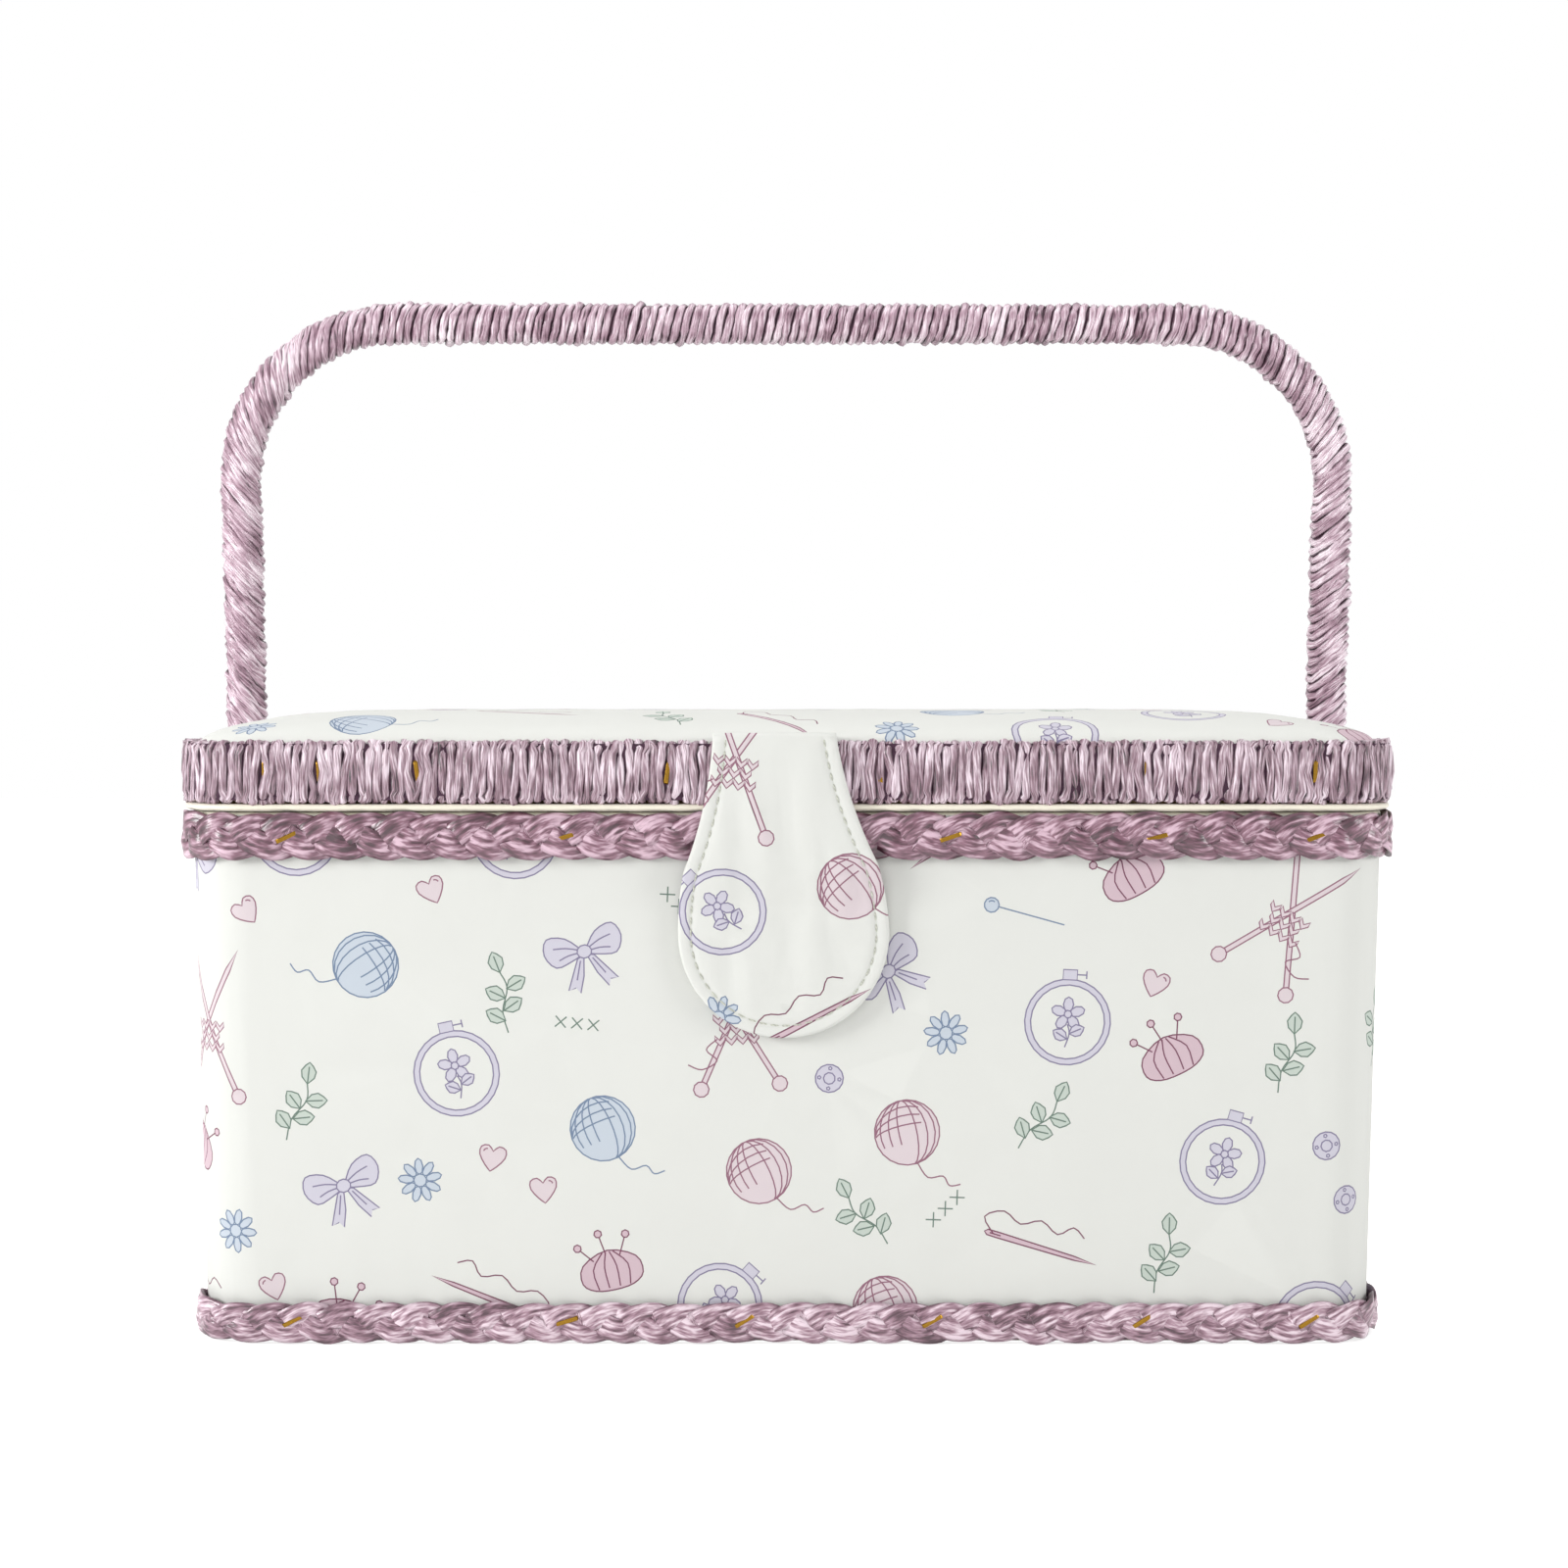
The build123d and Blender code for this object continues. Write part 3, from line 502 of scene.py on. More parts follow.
def lay_cords(put, points, which, place, facing, chance, cyclic, turned, thick, skin, material,
              result):
    """Run cords through points put in their places, skin them and end the tree."""
    for label, value, kind in (("strand", chance, "FLOAT"), ("facing", facing, "FLOAT_VECTOR")):
        points = put("StoreNamedAttribute", {"Geometry": points, "Name": label, "Value": value},
            data_type=kind, domain="POINT")
    points = put("SetPosition", {"Geometry": points, "Position": place})
    cord = put("PointsToCurves", {"Points": points, "Curve Group ID": which})
    cord = put("SetSplineCyclic", {"Geometry": cord, "Cyclic": cyclic})
    remembered = put("InputNamedAttribute", {"Name": "facing"}, data_type="FLOAT_VECTOR")
    cord = put("SetCurveNormal", {"Curve": cord, "Normal": remembered}, mode="FREE")
    cord = put("SetCurveTilt", {"Curve": cord, "Tilt": turned})
    cord = put("SetCurveRadius", {"Curve": cord, "Radius": thick})
    length = put("SplineParameter")
    cord = put("StoreNamedAttribute", {"Geometry": cord, "Name": "along",
        "Value": length.outputs["Length"]}, data_type="FLOAT", domain="POINT")
    body = put("CurveToMesh", {"Curve": cord, "Profile Curve": skin, "Scale": thick,
        "Fill Caps": True})
    body = put("SetShadeSmooth", {"Geometry": body})
    finish_tree(put, body, material, result)


def plait_tree():
    """A flat plait of three strands along a closed path."""
    tree, put, given, result = new_tree("Plait", [
        ("Periods", "Int", 38), ("Points per Period", "Int", 26), ("Half Height", "Float", 0.003),
        ("Half Depth", "Float", 0.001), ("Strand Radius", "Float", 0.003),
        ("Flatness", "Float", 0.3),
        ("Unevenness", "Float", 0.0006), ("Seed", "Float", 1.0), ("Material", "Material", None),
    ])
    each = put("Math MULTIPLY", given["Periods"], given["Points per Period"])
    count = put("Math MULTIPLY", each, 3.0)
    points = put("Points", {"Count": count})
    index = put("InputIndex")
    which = put("Math FLOOR", put("Math DIVIDE", index, each))
    step = put("Math MODULO", index, each)
    factor = put("Math DIVIDE", step, each)
    angle = put("Math MULTIPLY", factor, given["Periods"])
    angle = put("Math ADD", angle, put("Math MULTIPLY", which, 1 / 3))
    angle = put("Math MULTIPLY", angle, math.tau)
    spot = put("SampleCurve", {"Curves": given["Path"], "Factor": factor}, mode="FACTOR",
        use_all_curves=True)
    upright = put("CombineXYZ", {"Z": 1.0})
    out = put("VectorMath CROSS_PRODUCT", spot.outputs["Tangent"], upright)
    out = put("VectorMath NORMALIZE", out)
    sine = put("Math SINE", angle)
    over = put("Math SINE", put("Math MULTIPLY", angle, 2.0))
    clock = put("Math ADD", put("Math MULTIPLY", which, STRANDS_OF_PLAIT_APART), given["Seed"])
    slow = put("Math MULTIPLY_ADD", step, PLAIT_STEP, clock)
    sway = put("TexNoise", {"W": slow, "Scale": 1.0, "Detail": 2.0}, noise_dimensions="1D")
    sway = put("Math SUBTRACT", sway, 0.5)
    rise = put("Math MULTIPLY", sine, given["Half Height"])
    rise = put("Math ADD", rise, put("Math MULTIPLY", sway, given["Unevenness"]))
    stand = put("Math MULTIPLY", over, given["Half Depth"])
    up = put("VectorMath SCALE", upright, {"Scale": rise})
    away = put("VectorMath SCALE", out, {"Scale": stand})
    place = put("VectorMath ADD", put("VectorMath ADD", spot.outputs["Position"], up), away)
    number = put("Math FLOOR", put("Math DIVIDE", angle, math.tau / 2))
    lot = put("Math ADD", number, clock)
    chance = put("TexWhiteNoise", {"W": lot}, noise_dimensions="1D")
    swell = put("Math ADD", slow, PLAIT_SWELLS_APART)
    swell = put("TexNoise", {"W": swell, "Scale": 1.0, "Detail": 1.0}, noise_dimensions="1D")
    turned = put("Math MULTIPLY", sway, 0.8)
    thick = put("MapRange", {"Value": swell, "From Min": NOISE_LOW,
        "From Max": NOISE_HIGH, "To Min": 0.88, "To Max": 1.12})
    thick = put("Math MULTIPLY", thick, given["Strand Radius"])
    skin = creased_profile(put, 16, given["Flatness"], depth=0.11, creases=5.0)
    lay_cords(put, points, which, place, out, chance, True, turned, thick, skin, given["Material"],
              result)
    return tree


# The print: motifs drawn in lines and tints, in millimetres

GROUND = "#E6E7E2"
INKS = {
    "pink": ("#96697B", "#E0D3D7"), "lilac": ("#867E9C", "#D3D0DC"),
    "green": ("#6E8276", "#C9D3CA"), "blue": ("#7688A3", "#CAD3DD"),
    "maroon": ("#7C4A5F", "#D6BEC7"),
}
LINE_WIDTH = 0.36
SQUARE_MM = 0.000001  # in square metres
SPARE = 1.22  # motifs tried for each one wanted, as some find no room
ROOM = 1.5


def polar(turn, reach=1.0):
    """A place round the middle; the turn in degrees."""
    return reach * math.cos(math.radians(turn)), reach * math.sin(math.radians(turn))


def arc(x, y, wide, tall, start=0, end=360, count=14, turn=0):
    """Points along part of an ellipse; angles in degrees."""
    cosine, sine = polar(turn)
    points = []
    for i in range(count + (0 if abs(end - start) >= 360 else 1)):
        angle = math.radians(start + (end - start) * i / count)
        a, b = wide * math.cos(angle), tall * math.sin(angle)
        points.append((x + a * cosine - b * sine, y + a * sine + b * cosine))
    return points


def bent(points, steps=4, closed=False):
    """A smooth line through a few points."""
    count = len(points)
    result = []
    for i in range(count if closed else count - 1):
        if closed:
            four = [points[(i + k) % count] for k in (-1, 0, 1, 2)]
        else:
            four = [points[min(max(i + k, 0), count - 1)] for k in (-1, 0, 1, 2)]
        for step in range(steps):
            t = step / steps
            result.append(tuple(
                0.5 * (2 * b + (c - a) * t + (2 * a - 5 * b + 4 * c - d) * t * t
                       + (3 * b - a - 3 * c + d) * t ** 3)
                for a, b, c, d in zip(*four)
            ))
    return result if closed else result + [points[-1]]


def filled(points):
    """A tinted shape with its outline."""
    return [("tint", points), ("ring", points)]


def leaf(x, y, length, width, turn):
    """A small leaf with its middle vein."""
    side = [(0.0, 0.0), (0.3, 0.42), (0.6, 0.5), (0.85, 0.25), (1.0, 0.0)]
    shape = side + [(a, -b) for a, b in side[-2:0:-1]]
    cosine, sine = polar(turn)

    def at(a, b):
        return (x + a * length * cosine - b * width * sine,
                y + a * length * sine + b * width * cosine)

    return filled([at(a, b) for a, b in shape]) + [("line", [at(0, 0), at(0.8, 0)])]


def yarn_ball():
    """A ball of yarn with its loose end."""
    marks = filled(arc(0, 0, 8.4, 8.4, count=22))
    for share in (0.3, 0.62, 0.86):
        marks.append(("line", arc(0, 0, 8.4 * share, 8.4, -84, 84, 9, 35)))
    for share in (0.25, 0.55, 0.82):
        marks.append(("line", arc(0, 0, 8.4 * share, 8.4, 96, 200, 7, 35)))
        marks.append(("line", arc(0, 0, 8.2 * share, 8.3, -30, 80, 6, 125)))
    return marks + [("line", bent([(5.6, -6.2), (9.5, -8.6), (13, -6.8), (15.5, -8.4), (18, -7)]))]


def hoop():
    """An embroidery hoop with a flower in it."""
    marks = [("tint", arc(0, 0, 11, 11, count=26)), ("ground", arc(0, 0, 9.5, 9.5, count=24)),
             ("ring", arc(0, 0, 11, 11, count=26)), ("ring", arc(0, 0, 9.5, 9.5, count=24))]
    marks += filled([(-1.8, 10.8), (-1.8, 13.4), (1.8, 13.4), (1.8, 10.8)])
    marks += [("line", [(1.8, 12.2), (4.2, 12.2)]), ("line", [(4.2, 11.2), (4.2, 13.2)])]
    for k in range(5):
        turn = 90 + 72 * k
        x, y = polar(turn, 2.5)
        marks += filled(arc(x, y + 2, 1.9, 1.3, count=8, turn=turn))
    marks += filled(arc(0, 2, 1.0, 1.0, count=7))
    marks.append(("line", bent([(0, -0.6), (0.6, -3), (-0.4, -6.5)])))
    return marks + leaf(0.5, -3, 4.2, 3, 25) + leaf(0.1, -4.4, 4.2, 3, 150)


def bow():
    """A ribbon tied in a bow."""
    marks = []
    for side in (-1, 1):
        loop = bent([(0.6, 0.6), (4, 4.4), (8.6, 5.4), (10.2, 1.6), (8, -2.2), (3.6, -1.6),
                     (0.6, -0.6)], 3)
        tail = [(0.4, -1), (2.2, -1.4), (4.4, -5), (6.6, -8.6), (4.6, -8.4), (3.8, -10), (1.8, -6)]
        marks += filled([(side * x, y) for x, y in tail])
        marks += filled([(side * x, y) for x, y in loop])
        for fold in ([(1, 0.6), (4.4, 2), (7.6, 2.6)], [(1, 0), (4.2, 0), (6.8, -0.6)]):
            marks.append(("line", [(side * x, y) for x, y in bent(fold, 3)]))
        marks.append(("line", [(side * 1.6, -2), (side * 3.8, -6.6)]))
    return marks + filled(arc(0, 0, 1.9, 1.7, count=10))


def crossed_needles():
    """Two knitting needles with a bit of knitting."""
    marks = []
    for side in (-1, 1):
        cosine, sine = polar(62)
        rod = [(-21, 0.65), (-21, -0.65), (15, -0.65), (21, 0), (15, 0.65)]
        marks += filled([(side * (a * cosine - b * sine), a * sine + b * cosine) for a, b in rod])
        marks += filled(arc(side * -21.6 * cosine, -21.6 * sine, 2.0, 2.0, count=10))
    for row in range(3):
        for column in range(4 - row % 2):
            x = -4.4 + 2.9 * column + 1.45 * (row % 2)
            y = -1.5 - 2.7 * row
            marks += filled([(x - 1.3, y + 1.3), (x, y), (x + 1.3, y + 1.3), (x + 1.3, y),
                             (x, y - 1.4), (x - 1.3, y)])
    return marks + [("line", bent([(5, -6.5), (8, -9), (5.5, -12), (9.5, -14), (13, -12.5)]))]


def sprig():
    """A stem with five leaves."""
    marks = [("line", bent([(0, -9.5), (1.1, -4), (-0.4, 2), (1.2, 6)]))]
    for x, y, turn in ((0.5, -6.4, 30), (0.8, -3.8, 148), (0.2, -0.6, 28), (-0.2, 1.8, 152),
                       (1.2, 6, 72)):
        marks += leaf(x, y, 5.6, 3.8, turn)
    return marks


def threaded_needle():
    """A sewing needle and its thread."""
    marks = filled([(-15, 0), (-9, 0.5), (12, 0.75), (14.6, 0.7), (15.4, 0), (14.6, -0.7),
                    (12, -0.75), (-9, -0.5)])
    marks.append(("line", [(11, 0), (14, 0)]))
    thread = [(13, 0), (16.5, 3.6), (12, 6.4), (7, 4.4), (2, 6.8), (-3, 4.6), (-6.5, 7.5),
              (-10, 5.6)]
    return marks + [("line", bent(thread, 3))]


def daisy():
    """A flower with nine petals."""
    marks = []
    for k in range(9):
        turn = 40 * k
        x, y = polar(turn, 3.6)
        marks += filled(arc(x, y, 2.1, 1.05, count=8, turn=turn))
    return marks + filled(arc(0, 0, 1.7, 1.7, count=9))


def heart():
    """A small heart."""
    side = bent([(0, 2.1), (1.4, 3.5), (3.2, 2.9), (3.3, 0.8), (1.6, -1.6), (0, -3.1)], 2)
    shape = side + [(-x, y) for x, y in side[-2:0:-1]]
    return filled(shape) + [("line", arc(1.5, 1.6, 1, 1, 10, 90, 3))]


def snap():
    """A press stud with four holes."""
    marks = filled(arc(0, 0, 3.6, 3.6, count=15)) + [("ring", arc(0, 0, 1.5, 1.5, count=9))]
    for k in range(4):
        marks.append(("ring", arc(*polar(45 + 90 * k, 2.6), 0.45, 0.45, count=5)))
    return marks


def round_pin():
    """A pin with a round head."""
    return ([("line", [(-10.5, 0), (7, 0)])] + filled(arc(8.8, 0, 1.9, 1.9, count=11))
            + [("line", arc(8.8, 0, 1.1, 1.1, 30, 120, 3))])


def cross_stitches():
    """Three cross stitches in a row."""
    marks = []
    for k in range(3):
        x = -4.2 + 4.2 * k
        for lean in (-1.4, 1.4):
            marks.append(("line", [(x - 1.4, lean), (x + 1.4, -lean)]))
    return marks


def cushion_with_pins():
    """A pincushion with three pins."""
    top = bent([(-8, -2), (-7, 2.6), (0, 5.4), (7, 2.6), (8, -2), (5, -4.4), (0, -5), (-5, -4.4)],
               3, True)
    marks = filled(top)
    for x in (-4.6, -1.6, 1.6, 4.6):
        marks.append(("line", bent([(x * 0.3, 5), (x, 1), (x * 0.9, -4.3)], 3)))
    for x, y, tip_x, tip_y in ((-3, 3.6, -5.6, 8.6), (0.6, 4.6, 1.4, 10), (4, 3.2, 7.4, 7.4)):
        marks += [("line", [(x, y), (tip_x, tip_y)])] + filled(arc(tip_x, tip_y, 1.0, 1.0, count=7))
    return marks


# motif, its ink, its reach and how many lie in a square metre
MOTIFS = (
    (crossed_needles, "pink", 21, 62), (threaded_needle, "maroon", 15, 75), (hoop, "lilac", 13, 92),
    (yarn_ball, "pink", 13, 55), (yarn_ball, "blue", 13, 45), (bow, "lilac", 10, 95),
    (cushion_with_pins, "maroon", 10, 60), (sprig, "green", 9, 105), (round_pin, "blue", 10, 55),
    (daisy, "blue", 6, 100), (snap, "lilac", 4, 95), (heart, "pink", 4, 120),
    (cross_stitches, "green", 5, 50),
)


def stroke(points, closed):
    """Quads of the line's width along a row of points."""
    sides = []
    count = len(points)
    for i, (x, y) in enumerate(points):
        before = points[i - 1] if closed or i else points[i]
        after = points[(i + 1) % count] if closed or i < count - 1 else points[i]
        along = Vector(after) - Vector(before)
        across = Vector((-along.y, along.x)).normalized() * LINE_WIDTH / 2
        sides.append(((x + across.x, y + across.y), (x - across.x, y - across.y)))
    for i in range(count if closed else count - 1):
        a, b = sides[i], sides[(i + 1) % count]
        yield [a[0], a[1], b[1], b[0]]


def inked(motif, ink, x, y, turn, flip):
    """Coloured polygons of a motif, put in its place on the cloth."""
    cosine, sine = math.cos(turn), math.sin(turn)
    line_colour, tint_colour = INKS[ink]
    for kind, points in motif():
        placed = [(x + flip * a * cosine - b * sine, y + flip * a * sine + b * cosine)
                  for a, b in points]
        if kind == "tint":
            yield tint_colour, placed
        elif kind == "ground":
            yield GROUND, placed
        else:
            for quad in stroke(placed, kind == "ring"):
                yield line_colour, quad


def scattered(width, height, seed, margin, left=0.0, foot=0.0):
    """Inked polygons of motifs strewn over a panel from its left and its foot, no two touching."""
    chance = random.Random(seed)
    placed = []
    marks = []
    for motif, ink, reach, density in MOTIFS:
        for _ in range(max(1, round(width * height * SQUARE_MM * density * SPARE))):
            best = None
            for _ in range(36):
                x = chance.uniform(margin, width - margin)
                y = chance.uniform(3, height - 3)
                room = min([math.hypot(x - a, y - b) - reach - r for a, b, r in placed] + [60])
                if best is None or room > best[0]:
                    best = (room, x, y)
            room, x, y = best
            if room > ROOM:
                placed.append((x, y, reach))
                turn = math.radians(chance.uniform(-50, 50))
                marks.extend(inked(motif, ink, x, y, turn, chance.choice((-1, 1))))
    return [(ink, [(x + left, y + foot) for x, y in polygon]) for ink, polygon in marks]


def signed_area(points):
    """The area of a polygon, below zero where its corners run clockwise."""
    return sum(a[0] * b[1] - b[0] * a[1] for a, b in zip(points, points[1:] + points[:1])) / 2


def holds(polygon, x, y):
    """Whether a place lies inside a polygon."""
    inside = False
    for (ax, ay), (bx, by) in zip(polygon, polygon[1:] + polygon[:1]):
        if (ay > y) != (by > y) and x < ax + (y - ay) * (bx - ax) / (by - ay):
            inside = not inside
    return inside


def cut_along(outline, marks, guides=(), loose=()):
    """Triangles of a flat panel in millimetres, cut along each mark, with the colour of each."""
    points = []
    edges = []
    faces = []
    colours = []
    for colour, polygon in [(GROUND, list(outline))] + list(marks):
        area = signed_area(polygon)
        if abs(area) < 0.001:
            continue
        if area < 0:
            polygon = polygon[::-1]
        faces.append(list(range(len(points), len(points) + len(polygon))))
        points.extend(polygon)
        colours.append(colour)
    for line in guides:
        edges.extend((len(points) + i, len(points) + i + 1) for i in range(len(line) - 1))
        points.extend(line)
    points.extend(loose)
    flat, _, cut, _, _, sources = delaunay_2d_cdt(
        [Vector(p) for p in points], edges, faces, 1, 0.0001, True)
    shapes = [[points[i] for i in face] for face in faces]
    triangles = []
    inks = []
    for corners, source in zip(cut, sources):
        if source and min(source) == 0:
            x = sum(flat[i].x for i in corners) / 3
            y = sum(flat[i].y for i in corners) / 3
            top = next(i for i in sorted(source, reverse=True) if i == 0 or holds(shapes[i], x, y))
            triangles.append(tuple(corners))
            inks.append(colours[top])
    return [(p.x, p.y) for p in flat], triangles, inks


def boundary_of(triangles):
    """The edge of a panel, as the corners of one loop in order."""
    used = {}
    for a, b, c in triangles:
        for edge in ((a, b), (b, c), (c, a)):
            used[edge] = True
    following = {a: b for a, b in used if (b, a) not in used}
    start = next(iter(following))
    loop = [start]
    while following[loop[-1]] != start:
        loop.append(following[loop[-1]])
    return loop


def add_patch(faces, flat, triangles, inks, place, flipped=False):
    """Put a flat panel's triangles in space: corners, their flat places and the colour of each."""
    spots = [place(x, y) for x, y in flat]
    for corners, ink in zip(triangles, inks):
        order = corners[::-1] if flipped else corners
        faces.append(([spots[i] for i in order], [flat[i] for i in order], ink))


def add_strip(faces, first, second, flat):
    """Quads between two rows of points of one length."""
    for i in range(len(first)):
        j = (i + 1) % len(first)
        faces.append(([first[j], first[i], second[i], second[j]],
                      [flat[j], flat[i], flat[i], flat[j]], GROUND))


def cloth_mesh(name, faces):
    """One mesh from faces in space, joined where they meet, with its ink and the cloth's UV map."""
    index = {}
    points = []
    polygons = []
    kept = []
    for corners, flat, ink in faces:
        polygon = []
        for corner in corners:
            key = tuple(round(c / MICRON) for c in corner)
            if key not in index:
                index[key] = len(points)
                points.append(tuple(corner))
            polygon.append(index[key])
        if len(set(polygon)) == len(polygon):
            polygons.append(polygon)
            kept.append((flat, ink))
    mesh = mesh_from(name, points, polygons)
    uv = mesh.uv_layers.new(name="Cloth")
    colour = mesh.color_attributes.new("ink", "FLOAT_COLOR", "CORNER")
    chosen = bpy.context.scene.sewcase_cloth
    codes = {code: linear(code) for code in {ink for flat, ink in kept}}
    codes[GROUND] = tuple(chosen.ground)
    for ink in ("pink", "lilac", "green", "blue"):
        codes[INKS[ink][0]] = tuple(getattr(chosen, ink))
    places = []
    tints = []
    for flat, ink in kept:
        for x, y in flat:
            places.extend((x * MM, y * MM))
            tints.extend(codes[ink])
    uv.data.foreach_set("uv", places)
    colour.data.foreach_set("color", tints)
    return mesh


def corner_place(u, run_x, run_y, corner):
    """Where a length along a rounded rectangle falls: its centre line's point and the way out."""
    quarter = corner * math.pi / 2
    legs = (
        (run_x, (0, run_y), (-1, 0), 90), (quarter, (-run_x, run_y), None, 90),
        (2 * run_y, (-run_x, run_y), (0, -1), 180), (quarter, (-run_x, -run_y), None, 180),
        (2 * run_x, (-run_x, -run_y), (1, 0), 270), (quarter, (run_x, -run_y), None, 270),
        (2 * run_y, (run_x, -run_y), (0, 1), 0), (quarter, (run_x, run_y), None, 0),
        (run_x, (run_x, run_y), (-1, 0), 90),
    )
    for number, (length, start, way, heading) in enumerate(legs):
        if u <= length or number == len(legs) - 1:
            angle = math.radians(heading)
            if way is None:
                angle += u / corner
            else:
                start = (start[0] + way[0] * u, start[1] + way[1] * u)
            return start, (math.cos(angle), math.sin(angle))
        u -= length


class SEWCASE_OT_wall_cloth(bpy.types.Operator):
    """Cover the walls with printed cloth"""

    bl_idname = "sewcase.wall_cloth"
    bl_label = "Wall Cloth"

    def execute(self, context):
        corner = CORNER / MM
        half_x, half_y = WALL_HIGH[0] / MM, WALL_HIGH[1] / MM
        run_x, run_y = half_x - corner, half_y - corner
        low, high = WALL_LOW[2] / MM, WALL_HIGH[2] / MM
        lean = LEAN / MM
        quarter = corner * math.pi / 2
        length = 4 * run_x + 4 * run_y + 4 * quarter
        turns = (run_x, run_x + quarter + 2 * run_y, 3 * run_x + 2 * quarter + 2 * run_y,
                 3 * run_x + 3 * quarter + 4 * run_y)
        beyond, pieces = 1.2, 8  # guides lie on both sides of each corner and across it
        stops = []
        for start in turns:
            stops.append(start - beyond)
            stops += [start + quarter * i / pieces for i in range(pieces + 1)]
            stops.append(start + quarter + beyond)

        def surface(inset):
            def place(u, z):
                drawn_in = lean * (high - z) / high
                (x, y), (out_x, out_y) = corner_place(u, run_x, run_y, corner)
                reach = corner - inset
                return (
                    (x * (run_x - drawn_in) / run_x + out_x * reach) * MM,
                    (y * (run_y - drawn_in) / run_y + out_y * reach) * MM, z * MM,
                )
            return place

        outline = [(0, low), (length, low), (length, high), (0, high)]
        guides = [[(u, low), (u, high)] for u in stops]
        marks = scattered(length, high - low, seed=21, margin=24, foot=low)
        flat, triangles, inks = cut_along(outline, marks, guides)
        faces = []
        outside, inside = surface(0.0), surface(CLOTH)
        add_patch(faces, flat, triangles, inks, outside)
        loop = [flat[i] for i in boundary_of(triangles)]
        inner_flat, inner, inner_inks = cut_along(loop, [], guides)
        add_patch(faces, inner_flat, inner, inner_inks, inside, True)
        for (x0, y0), (x1, y1) in zip(loop, loop[1:] + loop[:1]):
            if abs(x1 - x0) > 0.001:
                quad = [outside(x1, y1), outside(x0, y0), inside(x0, y0), inside(x1, y1)]
                faces.append((quad, [(x1, y1), (x0, y0), (x0, y0), (x1, y1)], GROUND))
        piece = keep_mesh("wall_cloth", cloth_mesh("wall_cloth", faces), "case",
                          printed_cotton(), ["outer_cover"])
        return {"FINISHED"}


HALVINGS = 18


def dome_height(x, y, half_x, half_y, corner, growth, roll, rise):
    """The crown's height over a rounded rectangle: a quarter ellipse climbing in from its edge."""
    low, high = 0.0, roll
    for _ in range(HALVINGS):
        inset = (low + high) / 2
        radius = corner + growth * inset
        a = abs(x) - (half_x - inset - radius)
        b = abs(y) - (half_y - inset - radius)
        outside = math.hypot(max(a, 0), max(b, 0)) + min(max(a, b), 0) - radius
        if outside > 0:
            high = inset
        else:
            low = inset
    share = min(low / roll, 1.0)
    return rise * math.sqrt(max(0.0, 1 - (1 - share) ** 2))


class SEWCASE_OT_lid_pad(bpy.types.Operator):
    """Stretch printed cloth over the lid's wadding"""

    bl_idname = "sewcase.lid_pad"
    bl_label = "Padded Lid"

    def execute(self, context):
        half_x, half_y = TOP_HIGH[0] / MM, TOP_HIGH[1] / MM
        bottom, top, foot = TOP_LOW[2] / MM, TOP_HIGH[2] / MM, LID_FOOT
        corner, growth, roll = 15.4, 0.5, 40.0
        rise = top - foot

        def crown(x, y):
            height = dome_height(x, y, half_x, half_y, corner, growth, roll, rise)
            edge = 1 - height / rise
            tug = noise.noise(Vector((x * 0.055, y * 0.055, 3.0))) * 0.35
            tug = tug * (1 - edge) * min(1.0, height / 2)
            pucker = noise.noise(Vector((math.atan2(y, x) * 16, 5.0, 0.0))) * 0.45
            pucker = pucker * edge * min(1.0, height)
            return (x * MM, y * MM, (foot + height + tug + pucker) * MM)

        def ring(inset, step=4.0):
            return [tuple(p) for p in outline_points(
                half_x - inset, half_y - inset, corner + growth * inset, step)]

        outline = ring(0)
        rings = [ring(inset) for inset in (0.12, 0.5, 1.2, 2.4, 4.2, 6.8, 10.5, 15.5, 22, 30, 40)]
        guides = [row + row[:1] for row in rings]
        reach_x, reach_y = half_x - 44, half_y - 44
        loose = []
        for i in range(27):
            for j in range(19):
                loose.append((-reach_x + 2 * reach_x * i / 26, -reach_y + 2 * reach_y * j / 18))
        marks = scattered(2 * half_x, 2 * half_y, seed=5, margin=3, left=-half_x, foot=-half_y)
        flat, triangles, inks = cut_along(outline, marks, guides, loose)
        faces = []
        add_patch(faces, flat, triangles, inks, crown)
        loop = [flat[i] for i in boundary_of(triangles)]
        shrink = (half_x - 0.55) / half_x

        def level(z, scale):
            return [(x * scale * MM, y * scale * MM, z * MM) for x, y in loop]

        rows = [[crown(x, y) for x, y in loop], level(bottom, 1.0), level(bottom, shrink),
                level(foot + 0.05, shrink)]
        for first, second in zip(rows, rows[1:]):
            add_strip(faces, first, second, loop)
        under_flat, under, under_inks = cut_along(loop, [])
        add_patch(faces, under_flat, under, under_inks,
                  lambda x, y: (x * shrink * MM, y * shrink * MM, (foot + 0.05) * MM), True)
        piece = keep_mesh("lid_cushion", cloth_mesh("lid_cushion", faces), "lid",
                          printed_cotton(), ["lid_top_cover", "lid_pad"])
        return {"FINISHED"}


